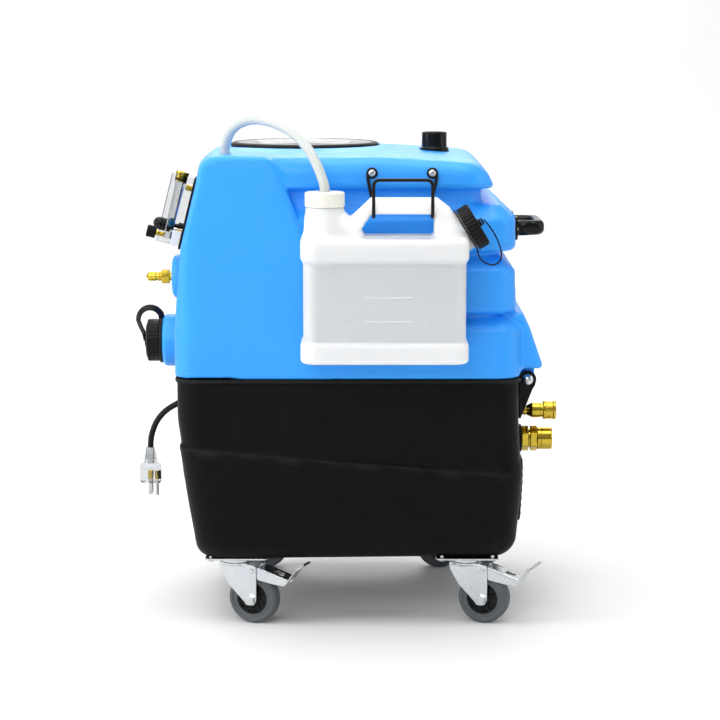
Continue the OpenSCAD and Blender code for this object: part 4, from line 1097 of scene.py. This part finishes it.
# ------------------------------------------------------------------ front fittings
XF = lambda x, y, z: along((x, y, z), (-1, 0, 0))
emit("front_quick_connect", [lathe([(0, 308), (1.2, 307.6, 0.3), (2.2, 305.5, 0.3), (4.6, 305.5), (7.1, 303.2, 0.8), (7.1, 292.6), (6.2, 291.4), (6.2, 288.4), (7.4, 287.6), (7.4, 286.4, 0.3), (6.6, 285.8, 0.3), (6.6, 284.4), (9.5, 283.6), (9.5, 282), (3, 282), (0, 282)], XF(0, 0, 494), segs=64, r0=0.35),
     sdf(lambda x, y, z: smax(smax(hexa(y, z - 494, 20.6), np.abs(x + 277) - 6, 0.4), hyp(y, z - 494) + 1.7 * (np.abs(x + 277) - 6) - 11.2, 0.4), (-284, -12.6, 481.4), (-270, 12.6, 506.6), 0.55),
     lathe([(0, 200), (6.5, 200), (6.5, 272), (0, 272)], XF(0, 0, 494), segs=40)], M["brass"], "tank", "front_connect")
emit("drain_neck_threaded", lathe([(22.5, 235), (28, 235), (28, 286.5, 0.3)] + [(27.9 if k % 2 else 26.6, 288 + 1.6 * k, 0.35) for k in range(9)] + [(27, 302.6), (26.4, 304), (22.5, 304)], XF(0, 0, 396), closed=True, r0=0.4, segs=80), M["black"], "tank", "drain_neck")
emit("drain_cap_ribbed", lathe([(28.3, 287.2), (31.8, 287.2), (32.3, 288), (32.3, 303.6), (31.4, 305.2, 1.2), (27, 306.2, 1.5), (25, 307.4, 0.8), (0, 307.6), (0, 304.6), (28.3, 304.6)], XF(0, 0, 396), r0=0.6, segs=384,
     mod=ribs(32, 1.0, 289.2, 304.6, 0.7, 0.3, 29.5)), M["black"], "drain_cap", "drain_cap")
sp = [(-284.2, 429), (-285.4, 436)] + [(-302 + 18 * math.cos(math.radians(a)), 428 + 18 * math.sin(math.radians(a))) for a in np.linspace(42, 190, 13)] + [(-315.5, 414), (-310.8, 405)]
sp = catmull([(a, 0, b) for a, b in sp], 3)
tail = catmull([(-310.9, 0, 406), (-309.4, 0, 401), (-309.0, 0, 396)], 3)
emit("drain_cap_strap", [lathe([(28.1, 281.8), (33.6, 281.8), (34.8, 282.6), (34.8, 285.8), (34, 286.7), (28.1, 286.7)], XF(0, 0, 396), closed=True, r0=0.4, segs=96),
     sweep(sp, flatsec(12, 2.3), up=(0.6, 0.62, -0.6)), sweep(tail, flatsec(12, 2.2), up=(0.6, 0.62, -0.6)), lathe([(0, 307.8), (9, 307.8), (9.5, 308.4), (9.5, 309.6), (8.8, 310.2), (3.4, 310.4), (3, 311.2), (0, 311.4)], XF(0, 0, 396), segs=56, r0=0.3)], M["rubber"], "tank", "drain_strap")

# ------------------------------------------------------------------ lid
emit("lid_clear_disc", lathe([(0, 696.4), (103.6, 696.4), (103.6, 699.0), (102, 699.4), (77, 699.6, 1), (74, 700.7, 1), (60, 701.5, 6), (36, 702.3), (34, 702.8), (33, 702.8), (31, 702.4), (29, 702.3, 1), (0, 702.4)], xf((-64, 0, 0)), segs=160, r0=0.5), M["lid"], "lid", "lid")
emit("lid_rubber_rim", lathe([(89, 685.4), (94.4, 685.4), (94.6, 690.6), (96, 691.4, 0.6), (109.5, 691.4), (111.9, 693.4, 1.6), (111.9, 697.2, 2.2), (109.4, 698.9, 2), (105.4, 699.8, 1.0), (103.8, 699.5, 0.4), (103.8, 696.3, 0.3), (89, 696.3)], xf((-64, 0, 0)), closed=True, segs=160, r0=0.6), M["rubber"], "lid", "lid_rim")

# ================= part three: the jug
JY = -271.5


def jug_f(x, y, z):
    yy = y - JY
    def band(z0, z1, i, r, re):
        d = rrect(x, yy, 54, 0, 118 - i, 53.5 - i, 22 - i * 0.7)
        return smax(d, np.abs(z - (z0 + z1) / 2) - (z1 - z0) / 2, re)
    b = smin(band(403.4, 434.5, 0, 22, 6.5), band(425, 560, 4, 18, 3), 2.5)
    b = smin(b, band(545.5, 581, 0, 22, 8), 3.5)
    hand = extr(rpoly(x, z, [(-57, 560), (-57, 606), (-50, 612), (0, 612), (6, 607), (35, 634), (128, 634), (146, 620), (171, 577), (171, 560)], 4), yy, 21, 11)
    b = smin(b, hand, 8)
    neck = smax(hyp(x + 30, yy) - interp(z, [560, 585, 612, 622], [34, 29, 27.2, 27]), np.abs(z - 596) - 25, 2.5)
    b = smin(b, neck, 6)
    b = smin(b, cyl(hyp(x + 30, yy), z - 626, 23.2, 12, 1), 1)
    c, sn = math.cos(math.radians(31.3)), math.sin(math.radians(31.3))
    sa = (x - 165) * c + (z - 584.8) * sn
    ta = -(x - 165) * sn + (z - 584.8) * c
    fn = smax(hyp(ta, yy) - interp(sa, [-30, -6, 4, 30], [31, 28.5, 27, 26.6]), np.abs(sa + 4.5) - 25.2, 1.2)
    fn = smax(fn, 562 - z, 4)
    b = smin(b, fn, 7)
    win = rpoly(x, z, [(35, 611), (123.5, 611), (123, 581.5), (27, 581.5), (21, 590)], 5)
    b = sub(b, win, 7)
    # raised graduations on the front face
    for zz in (463.5, 497.5):
        b = smin(b, rbox(x, yy, z, (60, -49.6, zz), (33, 0.7, 0.8), 0.4), 0.6)
    hol = band(407, 577, 7.5, 15, 5)
    shell = sub(b, hol, 1)
    shell = sub(shell, np.maximum(hyp(x + 30, yy) - 19, 570 - z), 1)
    return sub(shell, np.maximum(hyp(ta, yy) - 23.5, -14 - sa), 1)


emit("chemical_jug_body", sdf(jug_f, (-68, -328, 400), (190, -214, 640), 1.7, adapt=0.06), M["jug"], "jug", "jug")
emit("dip_tube_clear", lathe([(3.5, 410), (5, 410), (5, 637), (3.5, 637)], xf((-30, JY, 0)), closed=True, segs=32, r0=0.3), M["hose_plain"], "jug", "dip_tube")


def text_piece(name, body_text, x, z, size):
    cu = bpy.data.curves.new(name, "FONT")
    cu.body = body_text
    cu.size = size / 1000
    cu.extrude = 0.00035
    cu.bevel_depth = 0.00008
    cu.align_x = "CENTER"
    cu.align_y = "CENTER"
    o = bpy.data.objects.new(name, cu)
    scene.collection.objects.link(o)
    o.matrix_world = Matrix.Translation(P(x, JY - 49.62, z)) @ Matrix.Rotation(PI / 2, 4, "X")
    bpy.context.view_layer.update()
    me = bpy.data.meshes.new_from_object(o)
    me.transform(o.matrix_world)
    bpy.data.objects.remove(o)
    me.materials.clear()
    me.materials.append(M["moulded_number"])
    p = bpy.data.objects.new(name, me)
    scene.collection.objects.link(p)
    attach(p, "jug")
    return p


text_piece("graduation_upper_left", "64", 2, 497.5, 12)
text_piece("graduation_upper_right", "2", 116, 497.5, 12)
text_piece("graduation_lower_left", "32", 2, 463.5, 12)
text_piece("graduation_lower_right", "1", 116, 463.5, 12)

emit("dose_cap_ribbed", lathe([(7.4, 637.8), (7.4, 641.2), (8.4, 642), (26.2, 642), (28, 640.4, 1.6), (28, 622.6), (27.4, 621.4), (23.3, 621.4), (23.3, 637.8)], xf((-30, JY, 0)), closed=True, r0=0.5, segs=432,
     mod=ribs(54, 0.75, 623.2, 639.8, 0.55, 0.25, 26)), M["ivory"], "dose_cap", "dose_cap")
FA = along((165, JY, 584.8), (math.cos(math.radians(31.3)), 0, math.sin(math.radians(31.3))))
emit("fill_cap_ribbed", lathe([(27.4, 7), (32, 7), (32.5, 7.8), (32.5, 22.6), (30.8, 25, 1.4), (6.4, 25.2, 0.6), (5.5, 26), (5.5, 28.3), (4.9, 29), (0, 29), (0, 21.2), (27.4, 21.2)], FA, r0=0.6, segs=360,
     mod=ribs(36, 1.2, 8.4, 23.4, 0.62, 0.2, 29.2)), M["black"], "fill_cap", "fill_cap")
loop = catmull([(a, JY, b) for a, b in [(184.4, 560.8), (186.5, 553.5), (191, 546), (198, 541), (208, 539), (216, 544), (218.5, 554), (216, 567), (208, 584), (197, 599.2), (193, 603)]], 5)
tring = lathe([(27.1, 3.7), (33.6, 3.7), (34, 4.1), (34, 5.3), (33.6, 5.7), (27.1, 5.7)], FA, closed=True, r0=0.25, segs=96)
emit("fill_cap_tether", [tring, sweep(loop, flatsec(5.5, 2.0), up=(0, 1, 0)), moved(lathe([(0, 0), (5.3, 0), (5.5, 0.4), (5.5, 1.8), (4.9, 2.4), (2, 2.6), (0, 2.7)], None, segs=40, r0=0.25), FA @ xf((0, 0, 29.6)))], M["rubber"], "jug", "fill_cap_strap")

# ------------------------------------------------------------------ casters
CR = [-20, -20, 0, 180]
AX, AZ = 28.0, -62.5


def fork_f(x, y, z):
    crown = smax(np.minimum(hyp(x, y) - 24, rrect(x, y, -0.5, 0, 21.5, 18.1, 5)), np.abs(z + 10.8) - 1.5, 0.6)
    leg = rpoly(x, z, [(-22, -9.3), (-20, -21), (-7, -42), (18.5, -67.5), (21, -71.5), (27, -72.2), (33, -71.2), (37.2, -64), (37.4, -40), (36.8, -12), (22, -9.3)], 3)
    leg = extr(leg, np.abs(y) - 16.85, 1.25, 0.6)
    b = smin(crown, leg, 1.6)
    cup = smax(np.abs(hyp(x, y) - (19 + 0.9 * (z + 12.5))) - 1.2, np.abs(z + 14.2) - 2.1, 0.5)
    b = smin(b, cup, 1.2)
    b = np.maximum(b, -(np.maximum(hyp(x, y) - 4.6, np.abs(z + 11) - 6)))
    return np.maximum(b, -(hyp(x - AX, z - AZ) - 4.05))


fork_d = sdf(fork_f, (-26, -26, -75), (40, 26, -8), 0.95, adapt=0.08)
axh = hex_head(13.2, 5.6)
axn = hex_head(13.2, 6.4)
fork_parts = [fork_d, moved(axh, along((AX, -18.1, AZ), (0, -1, 0))), moved(axn, along((AX, 18.2, AZ), (0, 1, 0))),
              lathe([(0, -23.0), (3.7, -23.0), (4, -22.4), (4, 26), (3.4, 26.8), (0, 26.8)], along((AX, 0, AZ), (0, 1, 0)), segs=40),
              lathe([(4.0, 12.8), (7.2, 12.8), (7.2, 15.4), (4.0, 15.4)], along((AX, 0, AZ), (0, 1, 0)), closed=True, segs=40), lathe([(4.0, 12.8), (7.2, 12.8), (7.2, 15.4), (4.0, 15.4)], along((AX, 0, AZ), (0, -1, 0)), closed=True, segs=40),
              lathe([(0, -19.6), (2.6, -19.6), (3.6, -18.9), (3.6, -18.2), (2.4, -18.0), (2.4, 18.0), (3.6, 18.2), (3.6, 18.9), (2.6, 19.6), (0, 19.6)], along((30, 0, -19.7), (0, 1, 0)), segs=36)]


def pedal_f(x, y, z):
    side = rpoly(x, z, [(24.6, -22), (25.5, -15.4), (30, -13.9), (38, -14.3), (85, -29.3), (86, -33.5), (80, -40), (60, -37.5), (38, -33.5), (30, -25.6)], 2)
    sd = extr(side, np.abs(y) - 14.2, 0.9, 0.5)
    web = extr(rpoly(x, z, [(38, -14.4), (85, -29.4), (84.4, -31.5), (37.4, -16.5)], 0.6), y, 15.1, 1.6)
    lip = extr(rpoly(x, z, [(84, -31.6), (96, -15.5), (111, -5.5), (112.2, -7.4), (97.6, -17.5), (86, -33)], 0.7), y, 15.1, 2.5)
    b = smin(smin(sd, web, 1.4), lip, 1.0)
    sl = np.maximum(rrect((x - 68) / 0.95, y, 0, 0, 7, 7, 2.5), np.abs(z + 24) - 12)
    b = np.maximum(b, -sl)
    for k in range(3):
        t = (98.5 + 4.2 * k, 0, -14.6 + 2.8 * k)
        b = smin(b, capsule(x, y, z, (t[0], -11.5, t[2]), (t[0], 11.5, t[2]), 0.9), 0.5)
    return np.maximum(b, -(hyp(x - 30, z + 19.7) - 2.5))


pedal_d = sdf(pedal_f, (23, -17, -42), (114, 17, -4), 0.8, adapt=0.08)
pad_d = sdf(lambda x, y, z: extr(rpoly(x, z, [(97.5, -14.9), (110.2, -6.4), (109.2, -4.6), (96.4, -13.2)], 0.6), y, 12.5, 1.6), (95, -14.5, -17), (112, 14.5, -3), 0.6)
wheel_m = along((AX, 0, AZ), (0, 1, 0))
tyre_d = lathe([(23.5, -12)] + [(24.5, -12), (27, -10.8, 1), (30, -10.6, 1), (31.8, -12, 1)] + [(31.5 + 6 * math.sin(math.radians(a)), -6 - 6 * math.cos(math.radians(a)), 0) for a in range(14, 91, 8)]
               + [(37.5, -4.0, 0), (37.5, 0.0, 0), (37.5, 4.0, 0)] + [(31.5 + 6 * math.cos(math.radians(a)), 6 + 6 * math.sin(math.radians(a)), 0) for a in range(0, 77, 8)] + [(31.8, 12, 1), (30, 10.6, 1), (27, 10.8, 1), (24.5, 12), (23.5, 12)], wheel_m, closed=True, segs=144, r0=0.5)


def hub_f(x, y, z):
    rho = hyp(x, y)
    b = smax(rho - 23.5, np.abs(z) - 11, 0.8)
    dish = np.maximum(np.maximum(rho - 20.4, 12.4 - rho), 8.2 - np.abs(z))
    b = sub(b, dish, 1.2)
    th = np.arctan2(y, x)
    k = 2 * PI / 10
    a = (th + k / 2) % k - k / 2
    spoke = np.maximum(np.maximum(np.abs(rho * np.sin(a)) - 1.3, np.maximum(rho - 21.5, 11 - rho)), np.abs(z) - 10.4)
    b = smin(b, spoke, 0.8)
    b = smin(b, smax(rho - 11, np.abs(z) - 12.5, 0.6), 0.8)
    return np.maximum(b, 4.05 - rho)


hub_d = sdf(hub_f, (-24.5, -24.5, -13.4), (24.5, 24.5, 13.4), 0.9, place=wheel_m, adapt=0.1)

plates = []
for i in range(4):
    C = xf((CP[i][0], CP[i][1], 100), rz=CR[i])
    n = str(i + 1)
    emit("caster_fork_" + n, [moved(d, C) for d in fork_parts], M["zinc"], "fork_" + n, "fork_" + n)
    emit("caster_wheel_centre_" + n, moved(hub_d, C), M["black_gloss"], "wheel_" + n, "hub_" + n)
    emit("caster_tyre_" + n, moved(tyre_d, C), M["tyre"], "wheel_" + n, "tyre_" + n)
    emit("caster_brake_pedal_" + n, moved(pedal_d, C), M["zinc"], "pedal_" + n, "pedal_" + n)
    emit("caster_pedal_pad_" + n, moved(pad_d, C), M["zinc"], "pedal_" + n, ())
    B = xf((CP[i][0], CP[i][1], 100))
    pl = lambda x, y, z: np.maximum(extr(rrect(x, y, 0, 0, 46, 32, 6), z + 1.5, 1.5, 0.8), -(hyp(np.abs(x) - 37, np.abs(y) - 23) - 3.1))
    plates.append(sdf(pl, (-47.5, -33.5, -4), (47.5, 33.5, 1), 1.0, place=B, adapt=0.15))
    plates.append(lathe([(4.5, -3), (26, -3), (25.4, -4.2, 0.8), (24.5, -5.4), (24.5, -7.6, 0.8), (23.4, -9), (4.5, -9)], B, closed=True, r0=0.4, segs=96))
    plates.append(lathe([(0, -15.5), (5.5, -15.5), (8, -14.6, 1), (8, -12.7), (4.5, -12.6), (4.5, -9), (0, -9)], B, segs=48))
emit("caster_top_plates", plates, M["zinc"], "base", "caster_plates")

# ------------------------------------------------------------------ CAD nodes that stay, with procedural finishes
for node_name, key in {"vacuum_motors": "motor", "solution_pump": "motor", "power_box": "boxgrey", "standpipe": "jug_plain", "filter_basket": "steel"}.items():
    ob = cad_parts[node_name]
    ob = ob if hasattr(ob, "data") else bpy.data.objects[ob]
    ob.data.materials.clear()
    ob.data.materials.append(M[key])

# ------------------------------------------------------------------ floor, light
fm = N("pale_floor")
fm.to(fm.mix(fm.maprange(fm.noise(2.0, 3), 0.3, 0.7, 0, 1), (0.83, 0.83, 0.835), (0.86, 0.86, 0.865)), "Base Color")
fm.to(fm.maprange(fm.noise(7.0, 3), 0.3, 0.7, 0.62, 0.72), "Roughness")
fm.set(Specular_IOR_Level=0.25)
V, Fq = [], []
prof = [(-7.0, 0.0), (2.0, 0.0)] + [(2.0 + 2.0 * math.sin(math.radians(a)), 2.0 - 2.0 * math.cos(math.radians(a))) for a in range(6, 91, 6)] + [(4.0, 7.0)]
for y, z in prof:
    V += [(-9, y, z), (9, y, z)]
for i in range(len(prof) - 1):
    Fq.append((2 * i, 2 * i + 1, 2 * i + 3, 2 * i + 2))
me = bpy.data.meshes.new("floor")
me.from_pydata(V, [], Fq)
me.polygons.foreach_set("use_smooth", [True] * len(Fq))
me.materials.append(fm.m)
floor = bpy.data.objects.new("floor", me)
scene.collection.objects.link(floor)


def area(name, loc, target, sx, sy, power, col=(1, 1, 1)):
    L = bpy.data.lights.new(name, "AREA")
    L.shape = "RECTANGLE"
    L.size, L.size_y = sx, sy
    L.energy = power
    L.color = col
    o = bpy.data.objects.new(name, L)
    scene.collection.objects.link(o)
    o.location = loc
    o.rotation_euler = (Vector(target) - Vector(loc)).to_track_quat("-Z", "Y").to_euler()
    return o


area("top_soft", (-0.3, -0.3, 3.0), (0, 0, 0.3), 3.2, 2.8, 72)
area("front_soft", (-1.3, -4.4, 2.6), (0, 0, 0.35), 2.6, 2.0, 76)
area("left_soft", (-3.2, -0.9, 1.5), (0, 0, 0.4), 1.6, 2.2, 44)
area("right_soft", (3.2, -0.7, 1.4), (0, 0, 0.4), 1.6, 2.2, 16)
area("back_soft", (0, 3.3, 2.6), (0, 0.2, 0.3), 2.8, 1.6, 46)
w = bpy.data.worlds.new("soft_world")
w.use_nodes = True
wt = w.node_tree
geo = wt.nodes.new("ShaderNodeTexCoord")
sx = wt.nodes.new("ShaderNodeSeparateXYZ")
wt.links.new(geo.outputs["Generated"], sx.inputs[0])
mr = wt.nodes.new("ShaderNodeMapRange")
for i_, v_ in zip((1, 2, 3, 4), (-0.9, 0.6, 0.3, 0.74)):
    mr.inputs[i_].default_value = v_
wt.links.new(sx.outputs[1], mr.inputs[0])
wt.nodes["Background"].inputs[0].default_value = (1, 1, 1, 1)
wt.links.new(mr.outputs[0], wt.nodes["Background"].inputs[1])
scene.world = w
scene.view_settings.view_transform = "Standard"
scene.view_settings.look = "None"

bpy.context.view_layer.update()
